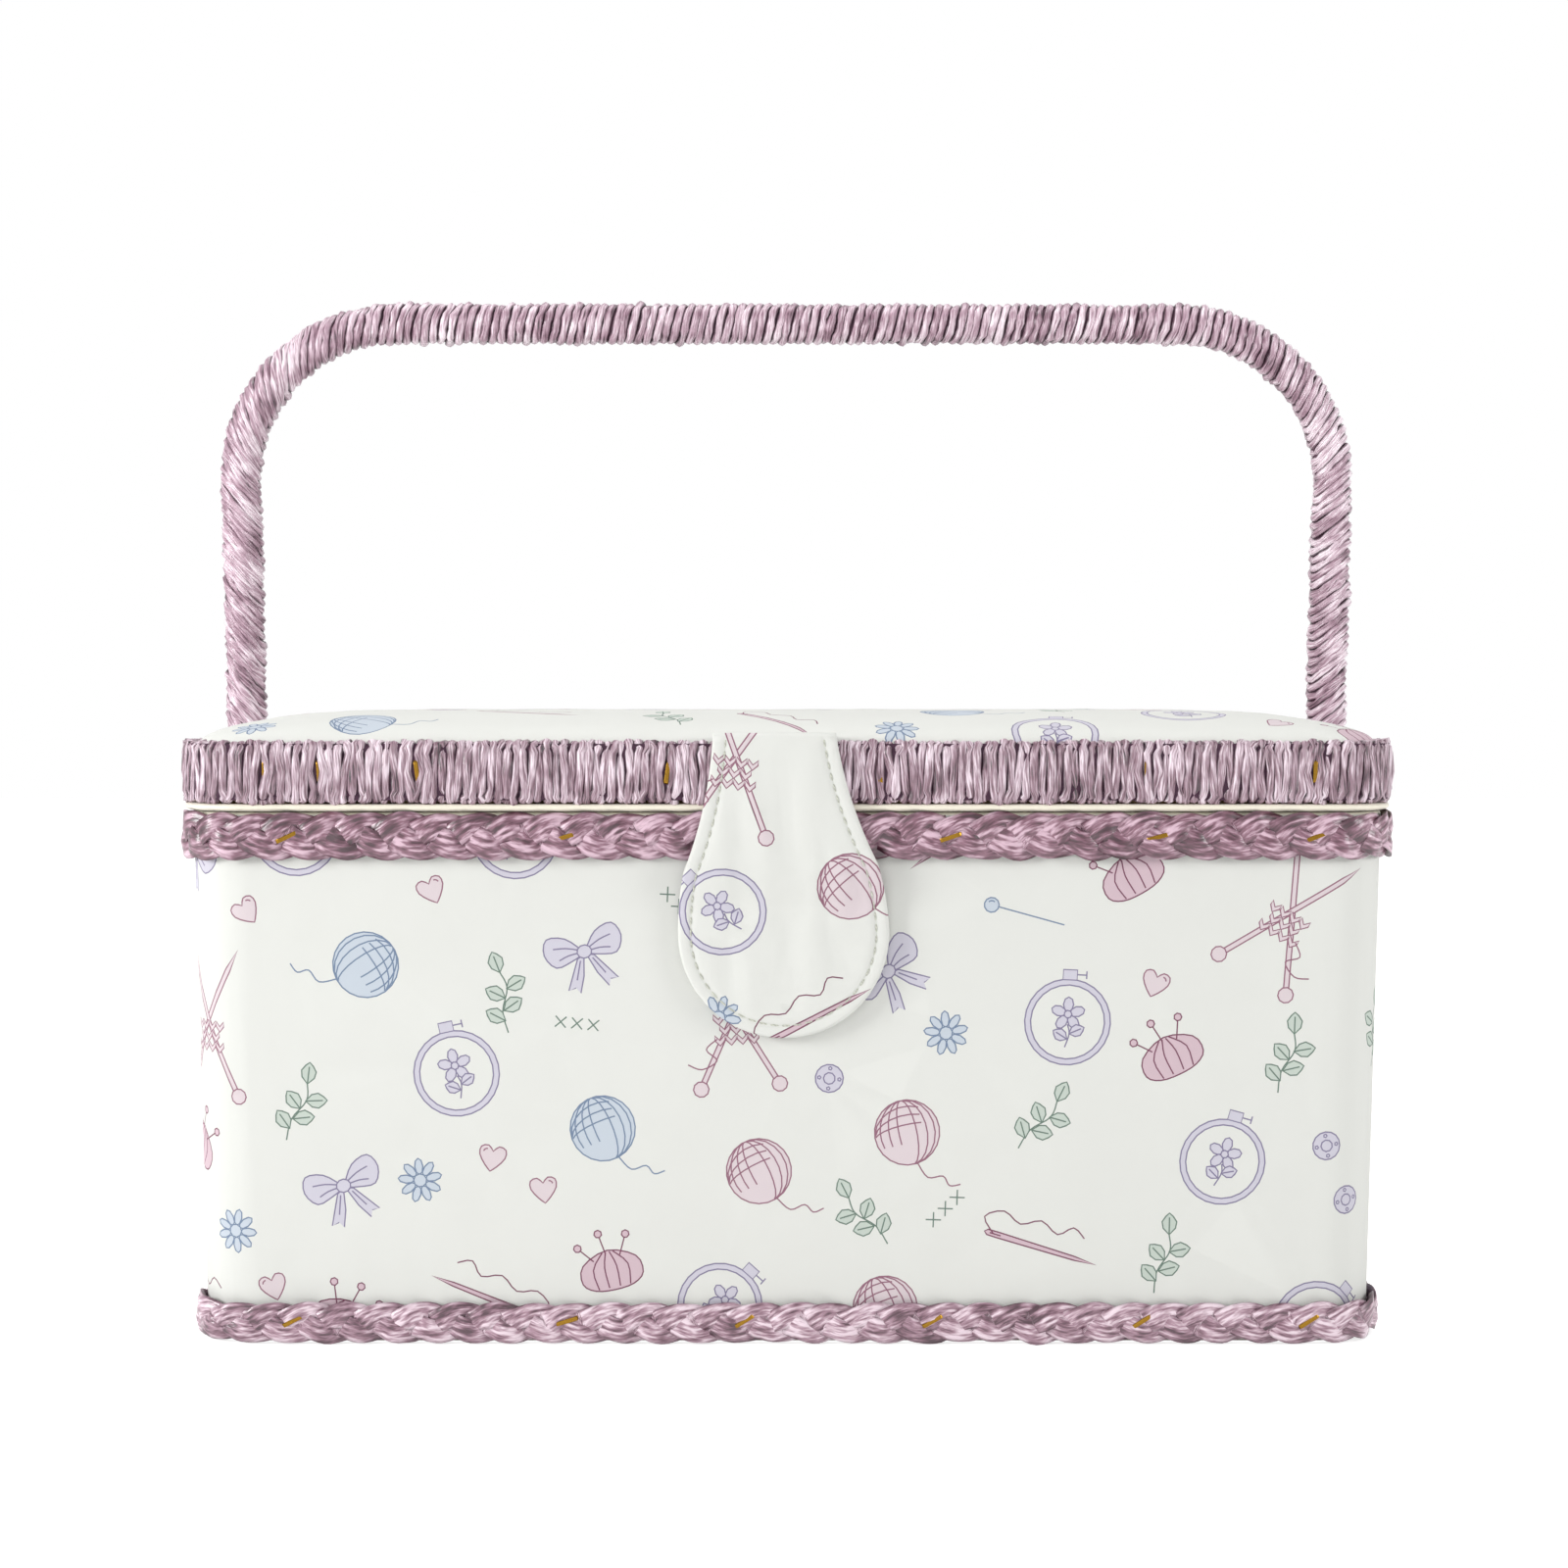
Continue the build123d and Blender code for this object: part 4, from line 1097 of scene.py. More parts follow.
def through(a, b, c, count):
    """Points along the arc of a circle through three points."""
    ax, ay, bx, by, cx, cy = *a, *b, *c
    d = 2 * (ax * (by - cy) + bx * (cy - ay) + cx * (ay - by))
    aa, bb, cc = ax * ax + ay * ay, bx * bx + by * by, cx * cx + cy * cy
    x = (aa * (by - cy) + bb * (cy - ay) + cc * (ay - by)) / d
    y = (aa * (cx - bx) + bb * (ax - cx) + cc * (bx - ax)) / d
    start, end = math.atan2(ay - y, ax - x), math.atan2(cy - y, cx - x)
    middle = math.atan2(by - y, bx - x)
    sweep = (end - start) % math.tau
    if (middle - start) % math.tau > sweep:
        sweep -= math.tau
    radius = math.hypot(ax - x, ay - y)
    angles = [start + sweep * i / count for i in range(count + 1)]
    return [(x + radius * math.cos(angle), y + radius * math.sin(angle)) for angle in angles]


# the tab in millimetres: its size, the middle of its fold, its lean and how its edge rolls over
TAB_LENGTH = 77.6
TAB_RADIUS = 26.8
TAB_STITCH_INSET = 3.3
TAB_X = -3.2
TAB_TOP = 156.3
TAB_LEAN = math.radians(2.6)
TAB_ROLL = 1.1
TAB_HALF_ROOT = 15.4
# where its back lies against the wall, and the step forward over the upper plait
TAB_BACK = -120.0
TAB_STEP = 2.86
TAB_BENDS_AT = 110.0
TAB_BEND = 12.0


def tab_side():
    """The right half of the tab's edge, from its fold down to its lowest point."""
    centre = -(TAB_LENGTH - TAB_RADIUS)
    slant = TAB_RADIUS * 0.7071
    side = through((15.5, 0), (18, -15), (24.5, -34), 16)
    side += through((24.5, -34), (26.4, (centre - 34) / 2 - 2), (TAB_RADIUS, centre), 8)[1:]
    side += through((TAB_RADIUS, centre), (slant, centre - slant), (0, -TAB_LENGTH), 20)[1:]
    return side


def inset_line(line, distance):
    """An open line moved towards its left by a distance."""
    moved = []
    for i, (x, y) in enumerate(line):
        before, after = line[max(i - 1, 0)], line[min(i + 1, len(line) - 1)]
        along = (Vector(after) - Vector(before)).normalized()
        moved.append((x - along.y * distance, y + along.x * distance))
    return moved


def tab_edge():
    """The tab's edge from the left end of its fold, round its lower end, to the right end."""
    side = tab_side()
    return [(-x, y) for x, y in side] + side[-2::-1]


def tab_depth(z):
    """How far forward the back of the tab lies at a height."""
    share = min(max((z - TAB_BENDS_AT) / TAB_BEND, 0.0), 1.0)
    share = share * share * (3 - 2 * share)
    return TAB_BACK - TAB_STEP * share


def tab_place(x, y, lift):
    """A place on the tab: lift is 1 at its front face, -1 at its back and 0 in the middle."""
    cosine, sine = math.cos(TAB_LEAN), math.sin(TAB_LEAN)
    rise = x * sine * min(1.0, -y / 22)
    z = TAB_TOP + y * cosine + rise
    depth = tab_depth(z) - TAB_ROLL - TAB_ROLL * lift
    return ((TAB_X + x * cosine - y * sine) * MM, depth * MM, z * MM)


def rolled(inset):
    """How full the tab's rolled edge stands at a distance from it."""
    roll = min(inset / TAB_ROLL, 1.0)
    return math.sqrt(max(0.0, 1 - (1 - roll) ** 2))


def tab_face(edge_tree, x, y):
    """How far the front of the tab stands out: rolled edge, sewn valley and soft creases."""
    distance = edge_tree.find_nearest(Vector((x, y, 0)))[3]
    lift = rolled(min(distance, -y) if y < 0 else 0.0)
    valley = math.exp(-((distance - TAB_STITCH_INSET) / 0.5) ** 2) * 0.34 * min(1.0, -y / 3)
    inner = min(max((distance - TAB_STITCH_INSET) / 5, 0.0), 1.0) * min(1.0, -y / 12)
    crease = noise.noise(Vector((x * 0.16, y * 0.028, 4.0)))
    crease = crease + 0.5 * noise.noise(Vector((x * 0.4, y * 0.06, 9.0)))
    return lift - valley + inner * (0.18 + crease * 0.9)


class SEWCASE_OT_tab(bpy.types.Operator):
    """Make the tab that hangs over the front, and the root that it is sewn in by"""

    bl_idname = "sewcase.tab"
    bl_label = "Tab"

    def execute(self, context):
        edge = tab_edge()
        strips = bmesh.new()
        row = [strips.verts.new((x, y, 0)) for x, y in edge]
        low = [strips.verts.new((x, y, -0.001)) for x, y in edge]
        for i in range(len(edge) - 1):
            strips.faces.new((row[i], row[i + 1], low[i + 1], low[i]))
        edge_tree = BVHTree.FromBMesh(strips)
        strips.free()
        guides = []
        for distance in (0.1, 0.35, 0.7, 1.1, 1.8, 2.6, 3.0, 3.3, 3.6, 4.0, 5.2):
            guides.append([p for p in inset_line(edge, distance) if p[1] < -0.3])
        for depth in (0.1, 0.35, 0.7, 1.1):
            guides.append([(-15.2, -depth), (15.2, -depth)])
        loose = []
        for i in range(-12, 13):
            for j in range(1, 36):
                x, y = i * 2.1, -j * 2.2
                if edge_tree.find_nearest(Vector((x, y, 0)))[3] > 6 and abs(x) < 26:
                    if abs(x) < 13 or y < -12:
                        loose.append((x, y))
        marks = scattered(56, TAB_LENGTH, seed=8, margin=10, left=-28, foot=-TAB_LENGTH)
        flat, triangles, inks = cut_along(edge, marks, guides, loose)
        faces = []
        add_patch(faces, flat, triangles, inks,
                  lambda x, y: tab_place(x, y, tab_face(edge_tree, x, y)))

        def back(x, y):
            distance = edge_tree.find_nearest(Vector((x, y, 0)))[3]
            return tab_place(x, y, -rolled(min(distance, -y) if y < 0 else 0.0))

        add_patch(faces, flat, triangles, inks, back, True)
        piece = keep_mesh("tab", cloth_mesh("tab", faces), "tab", printed_cotton(),
                          ["tab_front_cloth", "tab_stiffener", "tab_back_cloth"])
        left, right = (TAB_X - TAB_HALF_ROOT) * MM, (TAB_X + TAB_HALF_ROOT) * MM
        profile = [(-117.9, 154.8), (-122.5, 154.8), (-122.95, 155.3), (-123.0, 156.2),
                   (-122.4, 156.4), (-121.0, 156.1), (-119.4, 155.8), (-117.9, 155.6)]
        first = [(left, y * MM, z * MM) for y, z in profile]
        second = [(right, y * MM, z * MM) for y, z in profile]
        root = []
        flat = [(z, y) for y, z in profile]
        add_strip(root, second, first, flat)
        root.append((first, flat, GROUND))
        root.append((second[::-1], flat[::-1], GROUND))
        keep_mesh("tab_root", cloth_mesh("tab_root", root), "lid",
                  printed_cotton(), ["tab_anchor"])
        return {"FINISHED"}


# Properties

class SEWCASE_PG_cord(bpy.types.PropertyGroup):
    """Sizes of the raffia cord and its windings."""

    rim_cord: bpy.props.FloatProperty(
        name="Rim Cord Width", description="Width of one turn round the lid's rim",
        default=2.05 * MM, unit="LENGTH", precision=5,
    )
    handle_cord: bpy.props.FloatProperty(
        name="Handle Cord Width", description="Width of one turn round the handle",
        default=2.6 * MM, unit="LENGTH", precision=5,
    )
    rim_wander: bpy.props.FloatProperty(
        name="Rim Wander", description="How far a turn strays along the rim", default=2.1 * MM,
        unit="LENGTH", precision=5,
    )
    handle_wander: bpy.props.FloatProperty(
        name="Handle Wander", description="How far a turn strays along the handle",
        default=0.9 * MM, unit="LENGTH", precision=5,
    )
    plait_period: bpy.props.FloatProperty(
        name="Plait Period", description="Length in which each strand comes back to its place",
        default=28.5 * MM, unit="LENGTH", precision=5,
    )


class SEWCASE_PG_cloth(bpy.types.PropertyGroup):
    """Colours of the printed cotton and of the satin."""

    ground: bpy.props.FloatVectorProperty(
        name="Ground", description="Cotton between the motifs", subtype="COLOR", size=4, min=0.0,
        max=1.0, default=linear(GROUND),
    )
    pink: bpy.props.FloatVectorProperty(
        name="Pink Line", description="Outline of the pink motifs", subtype="COLOR", size=4,
        min=0.0, max=1.0, default=linear(INKS["pink"][0]),
    )
    lilac: bpy.props.FloatVectorProperty(
        name="Lilac Line", description="Outline of the lilac motifs", subtype="COLOR", size=4,
        min=0.0, max=1.0, default=linear(INKS["lilac"][0]),
    )
    green: bpy.props.FloatVectorProperty(
        name="Green Line", description="Outline of the green motifs", subtype="COLOR", size=4,
        min=0.0, max=1.0, default=linear(INKS["green"][0]),
    )
    blue: bpy.props.FloatVectorProperty(
        name="Blue Line", description="Outline of the blue motifs", subtype="COLOR", size=4,
        min=0.0, max=1.0, default=linear(INKS["blue"][0]),
    )
    satin: bpy.props.FloatVectorProperty(
        name="Satin", description="Lining of the case and lid", subtype="COLOR", size=4, min=0.0,
        max=1.0, default=linear("#F0EAD8"),
    )
    cushion: bpy.props.FloatVectorProperty(
        name="Pincushion", description="Satin of the pincushion", subtype="COLOR", size=4,
        min=0.0, max=1.0, default=linear("#C8AEBF"),
    )


class SEWCASE_PG_stitch(bpy.types.PropertyGroup):
    """The running stitch round the tab."""

    pitch: bpy.props.FloatProperty(
        name="Stitch Pitch", description="From one stitch to the next", default=2.9 * MM,
        unit="LENGTH", precision=5,
    )
    length: bpy.props.FloatProperty(
        name="Stitch Length", description="Length of one stitch", default=1.9 * MM, unit="LENGTH",
        precision=5,
    )
    thread: bpy.props.FloatProperty(
        name="Thread Radius", description="Half the thickness of the thread", default=0.2 * MM,
        unit="LENGTH", precision=5,
    )


class SEWCASE_PG_stage(bpy.types.PropertyGroup):
    """Levels of the studio's light."""

    key: bpy.props.FloatProperty(
        name="Front Lamp", description="Power of the lamp in front", default=2.0, unit="POWER",
    )
    top: bpy.props.FloatProperty(
        name="Top Lamp", description="Power of the lamp overhead", default=8.0, unit="POWER",
    )
    left: bpy.props.FloatProperty(
        name="Left Lamp", description="Power of the lamp on the left", default=9.6, unit="POWER",
    )
    right: bpy.props.FloatProperty(
        name="Right Lamp", description="Power of the lamp on the right", default=5.0,
        unit="POWER",
    )
    around: bpy.props.FloatProperty(
        name="Light Around", description="Level of the light that comes from all sides",
        default=0.44, min=0.0, max=1.0, subtype="FACTOR",
    )


# Each raffia: light, middle, dark and darkest tones, then its streaks' weight and where the painted
# shade on each strand's sides ends. The light tones are partly painted highlights and the darkest
# partly painted shade.
RAFFIAS = {
    "rim": ("#EEDDE7", "#A68A97", "#745260", "#2E1B25", 0.66),
    # Darker than the lower plait: painted shade under the rim.
    "upper plait": ("#D2B2C1", "#845B6C", "#56303F", "#3A1A27"),
    "lower plait": ("#EAD6E0", "#A78594", "#73505F", "#472936"),
    "handle": ("#FFF0F8", "#BFA0AF", "#8A6677", "#3E2733", 0.5, 0.78),
}


def raffia_of(place):
    """The raffia of one winding or plait, made once."""
    if place not in MATERIALS:
        MATERIALS[place] = raffia_material("Paper raffia, " + place, *RAFFIAS[place])
    return MATERIALS[place]


# Finishes of the other pieces

def satin_material(name, ground, thread_mm):
    """Cream satin: long floating threads streak its colour, partly their own tone and partly painted
    sheen, and its gloss gives it a soft shine.
    """
    material, put, shader = new_material(name)
    uv = put("UVMap", uv_map="Cloth")
    threads = put("Mapping", {"Vector": uv, "Scale": (1.0, 14.0, 1.0)})
    floats = put("TexNoise", {"Vector": threads, "Scale": 0.09 / (thread_mm * MM), "Detail": 3.0,
        "Roughness": 0.6})
    # Large soft patches, a little lighter and darker.
    soft_patches = put("TexNoise", {"Vector": uv, "Scale": 28.0, "Detail": 2.0})
    # The floats' streaks in the colour are partly the threads' own tone and partly painted sheen.
    tone = put("MapRange", {"Value": floats, "To Min": 0.86, "To Max": 1.06})
    soft = put("MapRange", {"Value": soft_patches, "To Min": 0.95, "To Max": 1.03})
    both = put("Math MULTIPLY", tone, soft)
    rgb = put("RGB")
    rgb.outputs[0].default_value = ground
    tinted = put("VectorMath SCALE", rgb, {"Scale": both})
    bump = put("Bump", {"Height": floats, "Strength": 0.3, "Distance": 0.05 * MM})
    feed(shader, {"Base Color": tinted, "Normal": bump, "Roughness": 0.42, "Sheen Weight": 0.25,
        "Specular IOR Level": 0.45})
    return material


def swept_ring(name, profile, place_ring, body, material, replaced, step):
    """A closed band: a profile of (inset, height) in millimetres carried round the case."""
    rows = [place_ring(inset, z) for inset, z in profile]
    around = len(rows[0])
    heights = [0.0]
    for (a, b), (c, d) in zip(profile, profile[1:] + profile[:1]):
        heights.append(heights[-1] + math.hypot(c - a, d - b))
    faces = []
    for r in range(len(profile)):
        nxt = (r + 1) % len(profile)
        for i in range(around):
            j = (i + 1) % around
            corners = [rows[r][i], rows[r][j], rows[nxt][j], rows[nxt][i]]
            flat = [(i * step, heights[r]), ((i + 1) * step, heights[r]),
                    ((i + 1) * step, heights[r + 1]), (i * step, heights[r + 1])]
            faces.append((corners, flat, GROUND))
    return keep_mesh(name, cloth_mesh(name, faces), body, material, replaced)


def even_ring(half_x, half_y, corner, z, run_x, run_y):
    """Points round a rounded rectangle, the same number for any size."""
    points = []
    for side_x, side_y, first in ((-1, 1, 90), (-1, -1, 180), (1, -1, 270), (1, 1, 0)):
        for i in range(9):
            angle = math.radians(first + 90 * i / 8)
            points.append((side_x * (half_x - corner) + corner * math.cos(angle),
                           side_y * (half_y - corner) + corner * math.sin(angle)))
    result = []
    for i, (x, y) in enumerate(points):
        nx, ny = points[(i + 1) % len(points)]
        result.append((x * MM, y * MM, z * MM))
        if i % 9 == 8:
            count = run_x if abs(nx - x) > abs(ny - y) else run_y
            for k in range(1, count):
                result.append(((x + (nx - x) * k / count) * MM, (y + (ny - y) * k / count) * MM,
                               z * MM))
    return result


class SEWCASE_OT_lining(bpy.types.Operator):
    """Line the walls, the floor and the underside of the lid with cream satin"""

    bl_idname = "sewcase.lining"
    bl_label = "Lining"

    def execute(self, context):
        satin = satin_material("Cream satin lining", context.scene.sewcase_cloth.satin, 0.35)
        outer = 4.3 - 0.6
        profile = [(outer, 5.2)]
        profile += [(outer, 134.9), (0.25, 134.95), (0.05, 135.4), (0.35, 135.95), (1.4, 136.2)]
        profile += [(3.6, 136.15), (4.45, 135.4)]
        profile += [(4.5, z) for z in (133, 129, 122, 114, 105, 95, 84, 72, 60, 48, 36, 24, 14, 8,
                                       5.2)]

        def place(inset, z):
            drawn_in = LEAN / MM * (135.4 - min(z, 135.4)) / 135.4
            ring = even_ring(154.5 - drawn_in - inset, 119.5 - drawn_in - inset, 17.0 - inset, z,
                             46, 34)
            if inset < 4.4 or z > 132:
                return ring
            result = []
            for x, y, height in ring:
                ripple = noise.noise(Vector((x * 42, y * 42, height * 16))) * 0.5 + 0.12
                pull = 1 - ripple * 0.0045
                result.append((x * pull, y * pull, height))
            return result

        piece = swept_ring("wall_satin", profile, place, "case", satin,
                           ["wall_lining"], 6.0)
        self.padded_board("floor_pad", BASE_LOW, BASE_HIGH, 12.2, 0.5, "case", "base_lining", satin,
                          False)
        self.padded_board("lid_satin", LID_LINING_LOW, LID_LINING_HIGH, 19.2, 0.0, "lid",
                          "lid_lining_board", satin, True)
        return {"FINISHED"}

    def padded_board(self, name, low, high, corner, swell, body, node, satin, downward):
        """A board covered with satin: rounded edges, and a face that swells a little."""
        half_x, half_y, top = (c / MM for c in high)
        bottom = low[2] / MM
        middle = (bottom + top) / 2
        thick = (top - bottom) / 2
        rings = []
        for angle in (-90, -60, -30, 0, 30, 60, 90):
            tuck = 2.4 if downward and angle > 0 else 1.0
            inset = tuck * thick * (1 - math.cos(math.radians(angle)))
            rings.append((inset, middle + thick * math.sin(math.radians(angle))))
        for inset in (3, 8, 16, 28, 45, 70, 100):
            if inset < half_y - 5:
                rings.append((inset, top + swell * min(1.0, inset / 20)))
        rows = []
        for inset, z in rings:
            radius = max(corner - inset, 2.0)
            row = even_ring(half_x - inset, half_y - inset, radius, z, 34, 26)
            if inset > 2:
                row = [(x, y, h + noise.noise(Vector((x * 24, y * 24, 1.0))) * swell * 0.9 * MM)
                       for x, y, h in row]
            rows.append(row)
        if downward:
            rows = [[(x, y, (bottom + top) * MM - h) for x, y, h in row] for row in rows]
        faces = []
        around = len(rows[0])
        for first, second in zip(rows, rows[1:]):
            for i in range(around):
                j = (i + 1) % around
                corners = [first[i], first[j], second[j], second[i]]
                faces.append((corners, [(x / MM, y / MM) for x, y, h in corners], GROUND))
        for row, flipped in ((rows[0], True), (rows[-1], False)):
            order = row[::-1] if flipped else row
            faces.append((order, [(x / MM, y / MM) for x, y, h in order], GROUND))
        if downward:
            faces = [(corners[::-1], flat[::-1], ink) for corners, flat, ink in faces]
        piece = keep_mesh(name, cloth_mesh(name, faces), body, satin, [node])


class SEWCASE_OT_pincushion(bpy.types.Operator):
    """Stuff the satin pincushion under the lid"""

    bl_idname = "sewcase.pincushion"
    bl_label = "Pincushion"

    def execute(self, context):
        low, high = CUSHION_LOW, CUSHION_HIGH
        half_x, half_y = high[0] / MM, high[1] / MM
        top, rise = high[2] / MM, (high[2] - low[2]) / MM
        corner, growth, roll = 16.0, -0.6, 15.0
        colour = context.scene.sewcase_cloth.cushion
        satin = satin_material("Mauve satin over stuffing", colour, 0.3)

        def belly(x, y):
            height = dome_height(x, y, half_x, half_y, corner, growth, roll, rise * 0.88)
            centre = max(0.0, 1 - (x / half_x) ** 2) * max(0.0, 1 - (y / half_y) ** 2)
            edge = 1 - height / (rise * 0.88)
            pucker = noise.noise(Vector((math.atan2(y, x) * 9, 2.0, 0.0))) * 1.5
            pucker = pucker * edge * min(1.0, height / 1.5)
            crease = noise.noise(Vector((x * 0.09, y * 0.09, 6.0))) * 0.7 * (1 - edge)
            return (x * MM, y * MM, (top - height - rise * 0.09 * centre + pucker + crease) * MM)

        rows = []
        for inset in (0, 0.1, 0.4, 1, 2, 3.5, 5.5, 8, 11, 15, 19, 23):
            rows.append([tuple(p) for p in outline_points(
                half_x - inset, half_y - inset, max(corner + growth * inset, 1.0), 3.0)])
        loose = [(x, y) for x in (-16, -11, -5.5, 0, 5.5, 11, 16) for y in (-3, 0, 3)]
        guides = [row + row[:1] for row in rows[1:]]
        flat, triangles, inks = cut_along(rows[0], [], guides, loose)
        faces = []
        add_patch(faces, flat, triangles, inks, belly, True)
        add_patch(faces, flat, triangles, inks, lambda x, y: (x * MM, y * MM, top * MM))
        piece = keep_mesh("pincushion_satin", cloth_mesh("pincushion_satin", faces), "lid",
                          satin, ["pincushion"])
        return {"FINISHED"}


def stitch_tree():
    """A running stitch: short round threads laid end to end along a path, dipping at each end."""
    tree, put, given, result = new_tree("Running stitch", [
        ("Pitch", "Float", 0.0034), ("Stitch Length", "Float", 0.0022),
        ("Thread Radius", "Float", 0.00026), ("Facing", "Vector", (0, -1, 0)),
        ("Material", "Material", None),
    ])
    spots = put("ResampleCurve", {"Curve": given["Path"], "Length": given["Pitch"]}, mode="LENGTH")
    turned = put("InputTangent")
    facing = put("AxesToRotation", {"Primary Axis": turned, "Secondary Axis": given["Facing"]},
        primary_axis="X", secondary_axis="Z")
    half = put("Math MULTIPLY", given["Stitch Length"], 0.5)
    back = put("Math MULTIPLY", half, -1.0)
    dip = put("Math MULTIPLY", given["Thread Radius"], -1.1)
    lift = put("Math MULTIPLY", given["Thread Radius"], 1.3)
    start = put("CombineXYZ", {"X": back, "Z": dip})
    middle = put("CombineXYZ", {"Z": lift})
    end = put("CombineXYZ", {"X": half, "Z": dip})
    bow_line = put("CurveQuadraticBezier", {"Resolution": 6, "Start": start, "Middle": middle,
        "End": end})
    section = put("CurvePrimitiveCircle", {"Resolution": 6, "Radius": given["Thread Radius"]},
        mode="RADIUS")
    thread = put("CurveToMesh", {"Curve": bow_line, "Profile Curve": section, "Fill Caps": True})
    thread = put("SetShadeSmooth", {"Geometry": thread})
    row = put("InstanceOnPoints", {"Points": spots, "Instance": thread, "Rotation": facing})
    finish_tree(put, row, given["Material"], result)
    return tree


class SEWCASE_OT_stitches(bpy.types.Operator):
    """Sew the running stitch inside the tab's edge"""

    bl_idname = "sewcase.stitches"
    bl_label = "Stitches"

    def execute(self, context):
        line = [p for p in inset_line(tab_edge(), TAB_STITCH_INSET) if p[1] < -1.2]
        path = path_object([tab_place(x, y, 0.80) for x, y in line], False)
        thread = plain_thread("Cotton sewing thread", "#C9CBBE")
        sewn = context.scene.sewcase_stitch
        mesh = grown_mesh("tab_stitches", path, stitch_tree(), {
            "Pitch": sewn.pitch, "Stitch Length": sewn.length, "Thread Radius": sewn.thread,
            "Facing": (0.0, -1.0, 0.0), "Material": thread,
        })
        keep_mesh("tab_stitches", mesh, "tab", None)
        return {"FINISHED"}


def plain_thread(name, colour):
    """Sewing cotton: two plies twisted together, dull."""
    material, put, shader = new_material(name)
    texture = put("TexCoord")
    twist = put("TexWave", {"Vector": texture.outputs["Object"], "Scale": 0.314 / (0.5 * MM),
        "Distortion": 1.0}, wave_type="BANDS", bands_direction="DIAGONAL")
    # Painted shade: the colour darkens in the grooves between the twisted plies.
    tone = put("MapRange", {"Value": twist.outputs["Fac"], "To Min": 0.72, "To Max": 1.05})
    rgb = put("RGB")
    rgb.outputs[0].default_value = linear(colour)
    tinted = put("VectorMath SCALE", rgb, {"Scale": tone})
    bump = put("Bump", {"Height": twist.outputs["Fac"], "Strength": 0.5, "Distance": 0.08 * MM})
    feed(shader, {"Base Color": tinted, "Normal": bump, "Roughness": 0.8})
    return material


# how a grain is drawn out: evenly, downwards or from side to side
EVEN = (1, 1, 1)
DOWN = (1, 1, 0.2)
ACROSS = (0.12, 1, 1)


class SEWCASE_OT_hardware(bpy.types.Operator):
    """Finish the boards, rails, tray, hinges, rivets and other plain pieces"""

    bl_idname = "sewcase.hardware"
    bl_label = "Plain Pieces"

    def execute(self, context):
        finishes = (
            (grained_material("Fibreboard, raw", "#9A8A76", "#7C6C5A", 900.0, EVEN, 0.88),
             ("base_board", "front_wall_board", "back_wall_board", "left_wall_board",
              "right_wall_board", "corner_boards", "lid_board")),
            (grained_material("Book cloth under the base", "#A89D93", "#8C8178", 1400.0, EVEN,
                              0.9), ("base_cover",)),
            # The rim's core is coloured dark so that the gaps between the turns of raffia show
            # painted shade.
            (grained_material("Dyed fibreboard of the rim", "#4A2C40", "#321C2B", 700.0, EVEN,
                              0.9), ("rim_core",)),
            # The handle's core is coloured dark so that the gaps between the turns of raffia show
            # painted shade.
            (grained_material("Rattan cane, dyed", "#5A3A4C", "#3C2433", 300.0, DOWN, 0.8),
             ("handle_core",)),
            (grained_material("Planed softwood", "#D9BE93", "#B8956A", 260.0, ACROSS, 0.62),
             ("lid_front_rail", "lid_back_rail", "lid_side_rails", "tray_rails")),
            (metal_material("Brass, stamped and tumbled", "#BE9F62", 0.34, 260.0),
             ("pivot_rivets", "pivot_spacers", "pivot_washers", "hinge_lower_leaves",
              "hinge_upper_leaves", "hinge_pins", "hinge_lower_screws", "hinge_upper_screws")),
            (metal_material("Nickel-plated magnet", "#B9B9BD", 0.25, 200.0),
             ("case_magnet", "tab_magnet")),
            (plastic_material("Polypropylene, mauve end caps", "#9C7C92", 0.42),
             ("handle_end_caps",)),
            (plastic_material("Polystyrene, moulded milky white", "#F4F4F1", 0.3), ("tray",)),
        )
        for material, nodes in finishes:
            for node in nodes:
                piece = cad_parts[node]
                if piece.material_slots:
                    for holder in piece.material_slots:
                        holder.material = material
                else:
                    piece.data.materials.append(material)
        return {"FINISHED"}


# band: its node, its body, its shares of the front, its height and how far out it lies in y and x
STAPLE_BANDS = {
    "rim": ("rim_staples", "lid", (-0.96, -0.86, -0.68, -0.22, 0.17, 0.66, 0.97),
            146.35, 122.5, 157.5),
    "upper": ("upper_braid_staples", "case", (-0.92, -0.41, 0.30, 0.68, 0.97),
              129.9, 122.5, 157.5),
    "lower": ("lower_braid_staples", "case", (-0.92, -0.41, -0.08, 0.27, 0.66, 0.97),
              5.88, 119.9, 154.9),
}
BACK_STAPLES = (-0.92, -0.38, 0.0, 0.38, 0.92)
SIDE_STAPLES = (-0.85, -0.30, 0.30, 0.85)
FRONT_SPREAD = 137.5
SIDE_SPREAD = 102.5


